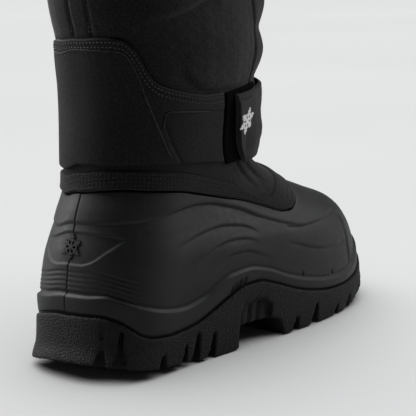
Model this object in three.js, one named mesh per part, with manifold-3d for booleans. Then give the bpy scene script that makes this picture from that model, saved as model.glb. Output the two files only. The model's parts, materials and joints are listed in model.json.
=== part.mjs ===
// Snow boot for the right foot, in millimetres, +Z up, toe towards +X, outer side towards -Y.
// A rubber shell with a lugged outsole carries a padded nylon shaft. Every upper piece is a patch
// of one form: level outlines whose sizes come from the section table, joined from floor to collar.
import * as THREE from 'three';
import { mergeVertices } from 'three/addons/utils/BufferGeometryUtils.js';
import Module from 'manifold-3d';

// ---- Driving dimensions ----
const COLLAR_HEIGHT = 290;
const SHELL_WALL = 3;
const SHAFT_WALL = 6;
const INSOLE_THICKNESS = 5;
const GAP = 0.3;
const FIT_GAP = 0.5;
const JOINT_GAP = 0.9;

const OUTER = -1;
const INNER = 1;
const RING_STEPS = 56;
const ARC_SAMPLES = 32;

// The form's level outlines. A heel quarter and a toe quarter are rounded by their powers, and an
// eased side joins them. heelRun and toeRun are the quarters' lengths, and the half widths are
// given at the heel and at the ball for each side. toeIn swings the front towards the inner side.
const SECTION_COLUMNS = ['height', 'heel', 'toe', 'heelRun', 'toeRun', 'heelOuter', 'heelInner',
  'ballOuter', 'ballInner', 'heelPower', 'toePower', 'toeIn'];
const SECTION_ROWS = [
  [0, -5, 313, 50, 96, 48.5, 47.5, 60, 56, 2.6, 2.3, 5],
  [12, -5, 316, 51, 98, 49.5, 48.5, 61.5, 57, 2.6, 2.3, 5],
  [24, -1, 316, 52, 99, 49.5, 48.5, 62, 57, 2.6, 2.3, 5],
  [40, 0, 312, 52, 99, 49.5, 48.5, 61.5, 56.5, 2.6, 2.3, 5],
  [60, 1, 303, 53, 99, 51, 50, 61, 56, 2.5, 2.3, 5],
  [75, 3, 290, 54, 97, 51, 50, 59, 55, 2.4, 2.3, 4],
  [85, 5, 275, 54, 95, 50, 49, 55, 51, 2.4, 2.3, 2],
  [95, 8, 248, 54, 90, 48, 47, 51, 48, 2.4, 2.2, 0],
  [110, 12, 211, 54, 85, 46, 45, 47, 45, 2.3, 2.1, -1],
  [130, 18.5, 185, 60, 90, 46, 44.5, 46, 44.5, 2.3, 2.1, 0],
  [150, 19, 176, 65, 90, 48.5, 46, 48.5, 46, 2.3, 2.1, 0],
  [180, 20, 181, 70, 90, 52, 48.5, 52, 48.5, 2.3, 2.1, 0],
  [220, 17.5, 185, 75, 92, 54.5, 50.5, 54.5, 50.5, 2.3, 2.1, 0],
  [260, 8.5, 185, 80, 97, 57, 55.5, 57, 55.5, 2.3, 2.1, 0],
  [300, -1, 184, 85, 100, 60, 60, 60, 60, 2.3, 2.1, 0],
];
const TOE_IN_START = 120;
const TOE_IN_REACH = 190;

// The inner side of the heel sits lower than the outer: how much, and where it fades along and up.
const HEEL_DROP = 6.5;
const DROP_START = 0.09;
const DROP_FADE = [0.2, 0.42];
const DROP_HEIGHTS = [8, 170, 280];
const SEAT_PROBE = 20;

// Lines round the form: station runs from 0 at the back to 1 at the toe, along either side.
const LINE_COLUMNS = ['station', 'height'];
const EDGE_LINE = [[0, 12.5], [0.07, 13.5], [0.1, 12], [0.14, 9.5], [0.19, 6], [0.25, 4], [0.3, 2.2],
  [0.36, 0.8], [0.7, 0.8], [0.78, 2.5], [0.83, 6], [0.9, 10], [1, 14]];
const PARTING_LINE = [[0, 43.5], [0.07, 45], [0.1, 42.5], [0.125, 36.5], [0.145, 31], [0.17, 28],
  [0.22, 26.5], [0.27, 28], [0.33, 35], [0.37, 41], [0.41, 46], [0.45, 46.5], [0.5, 41], [0.55, 33.5],
  [0.6, 28], [0.67, 23.5], [0.73, 22.5], [0.8, 25], [0.86, 33], [0.92, 38], [1, 40]];
const FOXING_LINE = [[0, 57], [0.05, 58], [0.08, 59], [0.1, 57.5], [0.15, 50.5], [0.2, 45], [0.25, 42.5],
  [0.3, 45.5], [0.34, 51.5], [0.38, 56.5], [0.43, 58], [0.48, 54], [0.54, 44.5], [0.6, 37.5],
  [0.67, 32.5], [0.73, 31.5], [0.79, 36], [0.86, 46], [0.92, 51], [1, 53]];
const SHELL_TOP_LINE = [[0, 122], [0.07, 124.5], [0.14, 125.5], [0.22, 124], [0.33, 121],
  [0.41, 116.5], [0.49, 111], [0.56, 105.5], [0.6, 98.5], [0.63, 91.5], [0.66, 90.5], [0.7, 92.5],
  [0.75, 96], [0.8, 99.5], [0.87, 104], [1, 110]];
const BAND_WIDTH_LINE = [[0, 12], [0.45, 12.5], [0.58, 11.5], [0.66, 11], [0.8, 8.5], [1, 7]];
const PANEL_TOP_LINE = [[0, 223.5], [0.1, 225], [0.14, 224], [0.165, 220], [0.185, 213], [0.21, 202],
  [0.235, 195.5], [0.27, 192], [0.32, 189], [0.37, 186.5], [0.43, 185], [0.5, 185],
  [0.56, 186], [0.72, 188.5]];
const PANEL_BOTTOM_LINE = [[0, 141], [0.14, 142.5], [0.33, 140], [0.57, 133.5]];
const STRAP_TOP_LINE = [[0.5, 182], [0.6, 182.5], [0.75, 184], [1, 187]];
const STRAP_BOTTOM_LINE = [[0.5, 131], [0.66, 131.5], [0.74, 136], [0.84, 143], [1, 146]];

// Footbed and tread heights along the boot.
const PROFILE_COLUMNS = ['along', 'height'];
const FLOOR_PROFILE = [[0, 18], [88, 18], [118, 21], [150, 21], [190, 13.5], [245, 13], [285, 17],
  [315, 22]];
const SPRING_START = 250;
const SPRING_REACH = 60;
const SPRING_RISE = 9;
const HEEL_FLAT = 80;
const HEEL_REACH = 87;
const HEEL_RISE = 12.5;

// Outsole: the wall stands proud of the form, and the shell tucks in behind it.
const SOLE_PROUD = 2.2;
const TREAD_INSET = 9;
const LIP_ROUND = 0.8;
const TUCK = 5;
const TUCK_SHARE = 0.6;
const BREAST = 116.5;
const ARCH_END = 168;
const ARCH_CLEARANCE = 16.5;
const NOTCH_COLUMNS = ['along', 'width', 'height'];
const NOTCHES = [[38, 11, 15], [60, 6, 18], [71, 9, 23], [88, 7.5, 20], [179, 9, 12], [202, 10, 17],
  [233, 5.5, 12], [253, 6, 13], [280, 6, 17], [300, 7, 20]];
const NOTCH_DEPTH = 5.5;
const SLOT_COLUMNS = ['station', 'width', 'height'];
const SLOTS = [[0.077, 6.5, 36], [0.107, 6.5, 33]];
const SLOT_DEPTH = 4.8;
const SLOT_INNER_SHIFT = 0.05;
const SLOT_NECK = 0.42;
const SLOT_FLARE = [15, 23];
const GROOVE_WIDTH = 6;
const GROOVE_DEPTH = 7;
const GROOVE_REACH = 50;
const CHEVRON = 9;
const GROOVES_ALONG = [38, 70, 179, 202, 233, 253];
const CHANNELS = [[24, 104], [182, 272]];

// Upper layers, as offsets from the form.
const THROAT_TOP = 195;
const LAYER_GAP = 0.7;
const FOXING_PROUD = 1.8;
const BAND_THICKNESS = 1.4;
const PANEL_THICKNESS = 2;
const PANEL_REACH = 0.505;
const PANEL_LEAN = 0.05;
const PATCH_FROM = 0.515;
const PATCH_TO = 0.71;
const STRAP_FROM = 0.56;
const STRAP_TO = 1.52;
const STRAP_LEAN = 0.09;
const STRAP_THICKNESS = 3.2;
const STRAP_INSIDE = PANEL_THICKNESS + 2 * LAYER_GAP;
const BINDING_HEIGHT = 7;
const BINDING_OVERHANG = 1.2;

const FINISH = {
  rubber_shell: { color: 0x232526, roughness: 0.55, metalness: 0 },
  rubber_sole: { color: 0x1b1c1d, roughness: 0.9, metalness: 0 },
  nylon: { color: 0x1d1d1c, roughness: 0.95, metalness: 0 },
  coated_panel: { color: 0x1f2021, roughness: 0.6, metalness: 0 },
  loop_pile: { color: 0x0e0e0e, roughness: 1, metalness: 0 },
  footbed_felt: { color: 0x4a4c4e, roughness: 1, metalness: 0 },
};

// ---- Curves through the tables ----
function named(columns, rows) {
  return rows.map((row) => Object.fromEntries(columns.map((column, place) => [column, row[place]])));
}

// A monotone cubic curve through the rows: value against key.
function curveThrough(rows, key, value) {
  const xs = rows.map((row) => row[key]);
  const ys = rows.map((row) => row[value]);
  const last = xs.length - 1;
  const secants = xs.slice(1).map((x, i) => (ys[i + 1] - ys[i]) / (x - xs[i]));
  const slopes = xs.map((_, i) => {
    if (i === 0) return secants[0];
    if (i === last) return secants[last - 1];
    const before = secants[i - 1];
    const after = secants[i];
    return before * after <= 0 ? 0 : (2 * before * after) / (before + after);
  });
  return (at) => {
    const x = Math.min(Math.max(at, xs[0]), xs[last]);
    let i = 0;
    while (i < last - 1 && x > xs[i + 1]) i += 1;
    const span = xs[i + 1] - xs[i];
    const t = (x - xs[i]) / span;
    const rest = 1 - t;
    return ys[i] * rest * rest * (1 + 2 * t) + ys[i + 1] * t * t * (3 - 2 * t)
      + span * t * rest * (slopes[i] * rest - slopes[i + 1] * t);
  };
}

const sections = named(SECTION_COLUMNS, SECTION_ROWS);
const sectionCurves = Object.fromEntries(
  SECTION_COLUMNS.slice(1).map((column) => [column, curveThrough(sections, 'height', column)]),
);
const lineOf = (rows) => curveThrough(named(LINE_COLUMNS, rows), 'station', 'height');
const edgeLine = lineOf(EDGE_LINE);
const partingLine = lineOf(PARTING_LINE);
const foxingLine = lineOf(FOXING_LINE);
const shellTopLine = lineOf(SHELL_TOP_LINE);
const bandWidthLine = lineOf(BAND_WIDTH_LINE);
const panelTopLine = lineOf(PANEL_TOP_LINE);
const panelBottomLine = lineOf(PANEL_BOTTOM_LINE);
const strapTopLine = lineOf(STRAP_TOP_LINE);
const strapBottomLine = lineOf(STRAP_BOTTOM_LINE);
const floorProfile = curveThrough(named(PROFILE_COLUMNS, FLOOR_PROFILE), 'along', 'height');

// The tread lies flat under the heel's front and the forefoot, and rises behind and ahead of them.
function treadHeight(along) {
  const toe = Math.max(0, (along - SPRING_START) / SPRING_REACH);
  const heel = Math.max(0, (HEEL_FLAT - along) / HEEL_REACH);
  return SPRING_RISE * toe ** 1.5 + HEEL_RISE * heel ** 1.15;
}

// ---- The form ----
function ease(share) {
  const t = Math.min(1, Math.max(0, share));
  return t * t * (3 - 2 * t);
}

// Points along one side of the outline at a height, from the back to the toe.
function halfOutline(height, side) {
  const size = Object.fromEntries(
    Object.entries(sectionCurves).map(([column, curve]) => [column, curve(height)]),
  );
  const heelWidth = side === OUTER ? size.heelOuter : size.heelInner;
  const ballWidth = side === OUTER ? size.ballOuter : size.ballInner;
  const heelEnd = size.heel + size.heelRun;
  const toeStart = size.toe - size.toeRun;
  const points = [];
  for (let i = 0; i <= ARC_SAMPLES; i += 1) {
    const angle = (i / ARC_SAMPLES) * (Math.PI / 2);
    const x = heelEnd - size.heelRun * Math.abs(Math.cos(angle)) ** (2 / size.heelPower);
    const y = heelWidth * Math.sin(angle) ** (2 / size.heelPower);
    points.push([x, y]);
  }
  for (let i = 1; i <= ARC_SAMPLES; i += 1) {
    const t = i / ARC_SAMPLES;
    points.push([heelEnd + (toeStart - heelEnd) * t, heelWidth + (ballWidth - heelWidth) * ease(t)]);
  }
  for (let i = 1; i <= ARC_SAMPLES; i += 1) {
    const angle = (1 - i / ARC_SAMPLES) * (Math.PI / 2);
    const x = toeStart + size.toeRun * Math.cos(angle) ** (2 / size.toePower);
    const y = ballWidth * Math.sin(angle) ** (2 / size.toePower);
    points.push([x, y]);
  }
  return points.map(([x, y]) => {
    const swing = size.toeIn * Math.max(0, (x - TOE_IN_START) / TOE_IN_REACH) ** 2;
    return new THREE.Vector2(x, side * y + swing);
  });
}

// around runs 0 to 1 along the outer side from the back, and on to 2 along the inner side.
function stationOf(around) {
  const turn = ((around % 2) + 2) % 2;
  return turn <= 1 ? turn : 2 - turn;
}

// How far the inner side of the heel is lowered at a place.
function heelDrop(turn, height) {
  if (turn <= 1) return 0;
  const station = 2 - turn;
  const [start, end] = DROP_FADE;
  const [low, top, gone] = DROP_HEIGHTS;
  const along = ease(station / DROP_START) * (1 - ease((station - start) / (end - start)));
  return HEEL_DROP * along * ease(height / low) * (1 - ease((height - top) / (gone - top)));
}

function formPoint(around, height) {
  const turn = ((around % 2) + 2) % 2;
  const outline = halfOutline(height, turn <= 1 ? OUTER : INNER);
  const lengths = [0];
  for (let i = 1; i < outline.length; i += 1) {
    lengths.push(lengths[i - 1] + outline[i].distanceTo(outline[i - 1]));
  }
  const reach = stationOf(around) * lengths[lengths.length - 1];
  let i = 1;
  while (i < lengths.length - 1 && lengths[i] < reach) i += 1;
  const t = (reach - lengths[i - 1]) / (lengths[i] - lengths[i - 1]);
  const spot = outline[i - 1].clone().lerp(outline[i], t);
  return new THREE.Vector3(spot.x, spot.y, height - heelDrop(turn, height));
}

const AROUND_STEP = 0.008;
const HEIGHT_STEP = 0.8;

function formNormal(around, height) {
  const across = formPoint(around + AROUND_STEP, height).sub(formPoint(around - AROUND_STEP, height));
  const up = formPoint(around, height + HEIGHT_STEP).sub(formPoint(around, height - HEIGHT_STEP));
  return across.cross(up).normalize();
}

function layerPoint(around, height, offset) {
  return formPoint(around, height).addScaledVector(formNormal(around, height), offset);
}

// The same, but moved only level, so that the height stays.
function levelPoint(around, height, offset) {
  const outward = formNormal(around, height).setZ(0).normalize();
  return formPoint(around, height).addScaledVector(outward, offset);
}

function aroundAt(along, height, side) {
  let low = 0;
  let high = 1;
  for (let i = 0; i < 24; i += 1) {
    const middle = (low + high) / 2;
    if (formPoint(middle, height).x < along) low = middle;
    else high = middle;
  }
  return side === OUTER ? low : 2 - low;
}

// ---- Solids from rows of points ----
function geometryFrom(points, triangles) {
  const geometry = new THREE.BufferGeometry();
  const coordinates = points.flatMap((p) => [p.x, p.y, p.z]);
  geometry.setAttribute('position', new THREE.Float32BufferAttribute(coordinates, 3));
  geometry.setIndex(triangles);
  return geometry;
}

// Joins neighbouring closed loops of equal length. The first and last loops are joined to each
// other, or capped across from the loop's first half to its second half.
function solidFromLoops(loops, closed) {
  const size = loops[0].length;
  const triangles = [];
  const count = closed ? loops.length : loops.length - 1;
  for (let i = 0; i < count; i += 1) {
    const near = i * size;
    const far = ((i + 1) % loops.length) * size;
    for (let k = 0; k < size; k += 1) {
      const next = (k + 1) % size;
      triangles.push(near + k, far + k, far + next, near + k, far + next, near + next);
    }
  }
  if (!closed) {
    const last = (loops.length - 1) * size;
    for (let k = 0; k < size / 2 - 1; k += 1) {
      const back = size - 1 - k;
      triangles.push(k, k + 1, back - 1, k, back - 1, back);
      triangles.push(last + k, last + back - 1, last + k + 1, last + k, last + back, last + back - 1);
    }
  }
  return geometryFrom(loops.flat(), triangles);
}

// Stacks level rings from the bottom up and closes the first and the last straight across.
function solidFromRings(rings) {
  const size = rings[0].length;
  const triangles = [];
  for (let j = 0; j < rings.length - 1; j += 1) {
    for (let i = 0; i < size; i += 1) {
      const a = j * size + i;
      const b = j * size + ((i + 1) % size);
      triangles.push(a, b, a + size, b, b + size, a + size);
    }
  }
  const top = (rings.length - 1) * size;
  for (let i = 0; i < size / 2; i += 1) {
    const outerNow = i;
    const outerNext = i + 1;
    const innerNow = (size - i) % size;
    const innerNext = size - i - 1;
    if (i > 0) {
      triangles.push(top + outerNow, top + outerNext, top + innerNow);
      triangles.push(outerNow, innerNow, outerNext);
    }
    if (outerNext !== innerNext) {
      triangles.push(top + outerNext, top + innerNext, top + innerNow);
      triangles.push(outerNext, innerNow, innerNext);
    }
  }
  return geometryFrom(rings.flat(), triangles);
}

function ringStations() {
  return Array.from({ length: RING_STEPS }, (_, i) => (2 * i) / RING_STEPS);
}

const shares = (count) => Array.from({ length: count }, (_, i) => i / (count - 1));

// A patch of the form between two offsets. Its ends may lean forward towards the bottom.
function patchSolid({ from, to, steps, rows, bottom, top, inside, outside, lean }) {
  const loops = shares(steps).map((progress) => {
    const around = from + (to - from) * progress;
    const low = bottom(stationOf(around));
    const high = top(stationOf(around));
    const column = shares(rows).map((share) => ({
      around: around + lean(progress) * (1 - share),
      height: low + (high - low) * share,
    }));
    const front = column.map((spot) => layerPoint(spot.around, spot.height, outside));
    const back = column.map((spot) => layerPoint(spot.around, spot.height, inside)).reverse();
    return [...front, ...back];
  });
  return solidFromLoops(loops, false);
}

// ---- Joins and cuts ----
const manifold = await Module();
manifold.setup();

function toSolid(geometry) {
  const bare = geometry.clone();
  bare.deleteAttribute('normal');
  bare.deleteAttribute('uv');
  const merged = mergeVertices(bare, 1e-4);
  return new manifold.Manifold(new manifold.Mesh({
    numProp: 3,
    vertProperties: new Float32Array(merged.attributes.position.array),
    triVerts: new Uint32Array(merged.index.array),
  }));
}

function fromSolid(solid) {
  const mesh = solid.getMesh();
  const geometry = new THREE.BufferGeometry();
  geometry.setAttribute('position', new THREE.Float32BufferAttribute(mesh.vertProperties, 3));
  geometry.setIndex(Array.from(mesh.triVerts));
  return geometry;
}

// ---- Outsole ----
// The seat that the shell drops into: heights and offsets up its wall, from the floor to the lip.
function seatWall(around) {
  const station = stationOf(around);
  const spot = levelPoint(around, SEAT_PROBE, -TUCK);
  const floor = floorProfile(spot.x) + SEAT_PROBE - spot.z;
  const lip = partingLine(station);
  const knee = floor + TUCK_SHARE * (lip - floor);
  return { floor, knee, lip };
}

function soleBody() {
  const rings = [
    (around) => {
      const spot = levelPoint(around, edgeLine(stationOf(around)), -TREAD_INSET);
      return spot.setZ(treadHeight(spot.x));
    },
    (around) => levelPoint(around, edgeLine(stationOf(around)), SOLE_PROUD),
    ...[0.35, 0.7].map((share) => (around) => {
      const edge = edgeLine(stationOf(around));
      return levelPoint(around, edge + share * (seatWall(around).lip - edge), SOLE_PROUD);
    }),
    (around) => levelPoint(around, seatWall(around).lip - LIP_ROUND, SOLE_PROUD),
    (around) => levelPoint(around, seatWall(around).lip, SOLE_PROUD - LIP_ROUND),
    (around) => levelPoint(around, seatWall(around).lip, FIT_GAP),
    (around) => levelPoint(around, seatWall(around).lip - FIT_GAP, FIT_GAP),
    (around) => levelPoint(around, seatWall(around).knee, FIT_GAP - TUCK),
    (around) => levelPoint(around, seatWall(around).floor, FIT_GAP - TUCK),
  ];
  return solidFromRings(rings.map((ring) => ringStations().map(ring)));
}

// A prism that leans with the sole's side wall: its outline is drawn along and up the wall.
function wallCutter(around, outline, depth) {
  const shape = new THREE.Shape(outline.map(([x, y]) => new THREE.Vector2(x, y)));
  const prism = new THREE.ExtrudeGeometry(shape, { depth: depth + 8, bevelEnabled: false });
  prism.translate(0, 0, -depth);
  const outward = formNormal(around, 8).setZ(0).normalize();
  const forward = new THREE.Vector3(0, 0, 1).cross(outward);
  const top = Math.max(...outline.map(([, height]) => height));
  const up = formPoint(around, top).sub(formPoint(around, 8)).divideScalar(top - 8);
  const root = formPoint(around, 8).setZ(0).addScaledVector(outward, SOLE_PROUD);
  prism.applyMatrix4(new THREE.Matrix4().makeBasis(forward, up, outward).setPosition(root));
  return prism;
}

function notchCutters() {
  return named(NOTCH_COLUMNS, NOTCHES).flatMap(({ along, width, height }) => {
    const tip = width * 0.12;
    const outline = [[-width / 2, -2], [width / 2, -2], [tip, height], [-tip, height]];
    return [OUTER, INNER].map((side) => wallCutter(aroundAt(along, 8, side), outline, NOTCH_DEPTH));
  });
}

function slotCutters() {
  const places = (station) => [station, 2 - station - SLOT_INNER_SHIFT];
  return named(SLOT_COLUMNS, SLOTS).flatMap(({ station, width, height }) => {
    const neck = (width / 2) * SLOT_NECK;
    const [flare, narrow] = SLOT_FLARE;
    const half = [[width / 2, -2], [width / 2, flare], [neck, narrow], [neck, height]];
    const outline = [...half, ...half.map(([x, y]) => [-x, y]).reverse()];
    return places(station).map((around) => wallCutter(around, outline, SLOT_DEPTH));
  });
}

function barCutter(start, end, width) {
  const run = end.clone().sub(start);
  const middle = start.clone().add(end).divideScalar(2);
  const top = GROOVE_DEPTH + treadHeight(middle.x);
  const bar = new THREE.BoxGeometry(run.length(), width, top + 2);
  bar.rotateZ(run.angle());
  bar.translate(middle.x, middle.y, top / 2 - 1);
  return bar;
}

function grooveCutters() {
  const chevrons = GROOVES_ALONG.flatMap((along) => [OUTER, INNER].map((side) => barCutter(
    new THREE.Vector2(along, side * GROOVE_REACH),
    new THREE.Vector2(along + CHEVRON, -side * GROOVE_WIDTH / 4),
    GROOVE_WIDTH,
  )));
  const channels = CHANNELS.map(([start, end]) => barCutter(
    new THREE.Vector2(start, 0),
    new THREE.Vector2(end, 0),
    GROOVE_WIDTH - 1,
  ));
  return [...chevrons, ...channels];
}

function archCutter() {
  const profile = [[BREAST, -2], [ARCH_END, -2], [ARCH_END - 8, ARCH_CLEARANCE - 3],
    [ARCH_END - 14, ARCH_CLEARANCE], [BREAST + 3, ARCH_CLEARANCE], [BREAST, ARCH_CLEARANCE - 3]];
  const shape = new THREE.Shape(profile.map(([x, y]) => new THREE.Vector2(x, y)));
  const prism = new THREE.ExtrudeGeometry(shape, { depth: 180, bevelEnabled: false });
  prism.translate(0, 0, -90);
  return prism.rotateX(Math.PI / 2);
}

// The hollow in the side wall above the arch, under its own low arched edge.
function pocketCutter(side) {
  const start = aroundAt(BREAST + 2, 20, side);
  const end = aroundAt(ARCH_END - 18, 20, side);
  const [from, to] = side === OUTER ? [start, end] : [end, start];
  const crown = (start + end) / 2;
  const crownStation = stationOf(crown);
  const halfSpan = Math.abs(end - start) / 2;
  return patchSolid({
    from,
    to,
    steps: 9,
    rows: 2,
    bottom: () => ARCH_CLEARANCE - 4,
    top: (station) => 34 - 7 * ((station - crownStation) / halfSpan) ** 2,
    inside: -2.4,
    outside: 7,
    lean: () => 0,
  });
}

function outsole() {
  const cutters = [archCutter(), pocketCutter(OUTER), pocketCutter(INNER), ...notchCutters(),
    ...slotCutters(), ...grooveCutters()];
  const cut = cutters.reduce((solid, cutter) => solid.subtract(toSolid(cutter)), toSolid(soleBody()));
  return fromSolid(cut);
}

// ---- Upper ----
// The shell's wall at one place round the form, from floor to top: heights with their offsets. Up to
// the foxing the offsets are level, like those of the seat, and above it they follow the surface.
function shellProfile(around) {
  const station = stationOf(around);
  const { floor, knee, lip } = seatWall(around);
  const foxing = foxingLine(station);
  const top = shellTopLine(station);
  const rise = (share) => foxing + share * (top - foxing);
  return [
    [floor + GAP, -TUCK, levelPoint],
    [knee, -TUCK, levelPoint],
    [lip - FIT_GAP, 0, levelPoint],
    [lip + GAP, 0, levelPoint],
    [lip + FIT_GAP, FOXING_PROUD, levelPoint],
    [foxing - 1.2, FOXING_PROUD, levelPoint],
    [foxing, 0.2, levelPoint],
    ...[0.2, 0.4, 0.55, 0.7, 0.8, 0.9, 1].map((share) => [rise(share), 0, layerPoint]),
  ];
}

function shell() {
  const loops = ringStations().map((around) => {
    const profile = shellProfile(around);
    const outside = profile.map(([height, offset, place]) => place(around, height, offset));
    const inside = profile
      .filter(([, offset]) => offset <= 0)
      .map(([height, offset, place]) => place(around, height, offset - SHELL_WALL))
      .reverse();
    return [...outside, ...inside];
  });
  return solidFromLoops(loops, true);
}

function shaft() {
  const loops = ringStations().map((around) => {
    const low = shellTopLine(stationOf(around)) + JOINT_GAP;
    const bandTop = low + bandWidthLine(stationOf(around));
    const high = COLLAR_HEIGHT - BINDING_HEIGHT;
    const between = (start, end, divisions) => shares(divisions + 1).slice(1)
      .map((share) => start + share * (end - start));
    const heights = [low, ...between(low, bandTop, 2), ...between(bandTop, THROAT_TOP, 9),
      ...between(THROAT_TOP, high, 4)];
    const wall = (height, offset) => {
      const place = height > THROAT_TOP ? levelPoint : layerPoint;
      return place(around, height, offset);
    };
    const outside = heights.map((height) => wall(height, 0));
    const inside = heights
      .filter((_, row) => row % 3 === 0)
      .map((height) => wall(height, -SHAFT_WALL))
      .reverse();
    return [...outside, ...inside];
  });
  return solidFromLoops(loops, true);
}

function seamBand() {
  const loops = ringStations().map((around) => {
    const low = shellTopLine(stationOf(around)) + JOINT_GAP;
    const width = bandWidthLine(stationOf(around));
    const wall = (share, offset) => layerPoint(around, low + share * width, offset);
    return [
      ...[0, 0.5, 1].map((share) => wall(share, LAYER_GAP + BAND_THICKNESS)),
      ...[1, 0.5, 0].map((share) => wall(share, LAYER_GAP)),
    ];
  });
  return solidFromLoops(loops, true);
}

function collarBinding() {
  const low = COLLAR_HEIGHT - BINDING_HEIGHT + GAP;
  const section = [
    [low, BINDING_OVERHANG],
    [COLLAR_HEIGHT - 2, BINDING_OVERHANG],
    [COLLAR_HEIGHT, -1],
    [COLLAR_HEIGHT, 1 - SHAFT_WALL],
    [COLLAR_HEIGHT - 2, -SHAFT_WALL - BINDING_OVERHANG],
    [low, -SHAFT_WALL - BINDING_OVERHANG],
  ];
  const loops = ringStations().map((around) => (
    section.map(([height, offset]) => levelPoint(around, height, offset))
  ));
  return solidFromLoops(loops, true);
}

function insole() {
  const inset = -TUCK - SHELL_WALL - 2 * FIT_GAP;
  const ring = (rise, offset) => ringStations().map((around) => (
    levelPoint(around, seatWall(around).floor + rise, offset)
  ));
  return solidFromRings([
    ring(GAP, inset),
    ring(INSOLE_THICKNESS - 1, inset),
    ring(INSOLE_THICKNESS, inset - 1),
  ]);
}

function anklePanel() {
  return patchSolid({
    from: -PANEL_REACH,
    to: PANEL_REACH,
    steps: 54,
    rows: 6,
    bottom: panelBottomLine,
    top: panelTopLine,
    inside: LAYER_GAP,
    outside: LAYER_GAP + PANEL_THICKNESS,
    lean: (progress) => PANEL_LEAN * (2 * progress - 1),
  });
}

function loopPatch() {
  return patchSolid({
    from: PATCH_FROM,
    to: PATCH_TO,
    steps: 8,
    rows: 4,
    bottom: () => 133,
    top: (station) => panelTopLine(station) - 1,
    inside: LAYER_GAP,
    outside: LAYER_GAP + PANEL_THICKNESS,
    lean: () => PANEL_LEAN,
  });
}

function strap() {
  return patchSolid({
    from: STRAP_FROM,
    to: STRAP_TO,
    steps: 30,
    rows: 4,
    bottom: strapBottomLine,
    top: strapTopLine,
    inside: STRAP_INSIDE,
    outside: STRAP_INSIDE + STRAP_THICKNESS,
    lean: (progress) => STRAP_LEAN * (1 - progress),
  });
}

// ---- Assembly ----
const pieces = [
  ['outsole', outsole(), 'rubber_sole'],
  ['shell', shell(), 'rubber_shell'],
  ['insole', insole(), 'footbed_felt'],
  ['shaft', shaft(), 'nylon'],
  ['seam_band', seamBand(), 'nylon'],
  ['collar_binding', collarBinding(), 'nylon'],
  ['ankle_panel', anklePanel(), 'coated_panel'],
  ['loop_patch', loopPatch(), 'loop_pile'],
  ['strap', strap(), 'nylon'],
];

const boot = new THREE.Group();
for (const [name, geometry, finish] of pieces) {
  geometry.computeVertexNormals();
  const mesh = new THREE.Mesh(geometry, new THREE.MeshStandardMaterial(FINISH[finish]));
  mesh.name = name;
  boot.add(mesh);
}

// The origin is on the floor under the middle of the whole boot.
const extent = new THREE.Box3().setFromObject(boot);
boot.position.set(-(extent.min.x + extent.max.x) / 2, -(extent.min.y + extent.max.y) / 2, -extent.min.z);

export default boot;
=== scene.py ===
"""The right boot of a pair of winter boots, standing empty on a pale floor.

A moulded rubber shell sits on a lugged outsole. Above it rise a padded nylon shaft with a collar
binding, a coated panel round the ankle and a strap that closes on a loop patch.

Sizes are in millimetres on the boot's own drawing: +X runs from the heel to the toe, -Y to the
outer side and +Z up from the floor. Places on the surface are given by how far round the form they
are and how high. The way round runs from 0 at the back to 1 at the toe along the outer side, and
on to 2 at the back along the inner side. A station is the same way counted from the back to the
toe on either side.
"""

import json
import logging
import math
from dataclasses import dataclass, field
from enum import Enum
from typing import Iterable, Sequence

import bmesh
import bpy
import numpy as np
from mathutils import Matrix, Vector

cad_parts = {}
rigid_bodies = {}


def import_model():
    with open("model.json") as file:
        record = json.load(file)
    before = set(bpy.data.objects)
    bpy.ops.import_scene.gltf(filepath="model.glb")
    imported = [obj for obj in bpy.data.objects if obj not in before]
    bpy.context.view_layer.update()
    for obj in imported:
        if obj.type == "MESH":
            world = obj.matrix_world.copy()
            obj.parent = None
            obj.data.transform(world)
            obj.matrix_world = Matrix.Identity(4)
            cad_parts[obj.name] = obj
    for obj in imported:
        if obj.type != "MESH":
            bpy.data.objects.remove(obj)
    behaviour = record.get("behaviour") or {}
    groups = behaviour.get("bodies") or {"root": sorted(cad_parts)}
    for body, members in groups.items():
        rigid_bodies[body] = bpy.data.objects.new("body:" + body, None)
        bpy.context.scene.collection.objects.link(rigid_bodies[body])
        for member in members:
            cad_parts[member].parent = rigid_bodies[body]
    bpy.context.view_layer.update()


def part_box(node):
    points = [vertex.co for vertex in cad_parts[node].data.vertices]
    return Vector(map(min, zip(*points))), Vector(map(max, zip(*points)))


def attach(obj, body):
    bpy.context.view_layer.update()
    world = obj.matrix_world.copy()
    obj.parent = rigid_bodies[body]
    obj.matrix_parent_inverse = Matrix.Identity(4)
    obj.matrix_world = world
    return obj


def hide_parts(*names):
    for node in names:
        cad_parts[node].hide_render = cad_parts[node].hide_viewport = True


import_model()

Array = np.ndarray
Row = tuple[float, ...]
Colour = tuple[float, float, float]

LOG = logging.getLogger("snow_boot")
MM = 0.001
BODY = "root"

# The smallest X and Y of the outsole on the drawing, which place the drawing in the frame.
SOLE_CORNER = (-7.18, -62.97)
SOLE_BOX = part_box("outsole")
SHIFT = np.array([SOLE_BOX[0][0] / MM - SOLE_CORNER[0], SOLE_BOX[0][1] / MM - SOLE_CORNER[1], 0.0])

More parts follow.
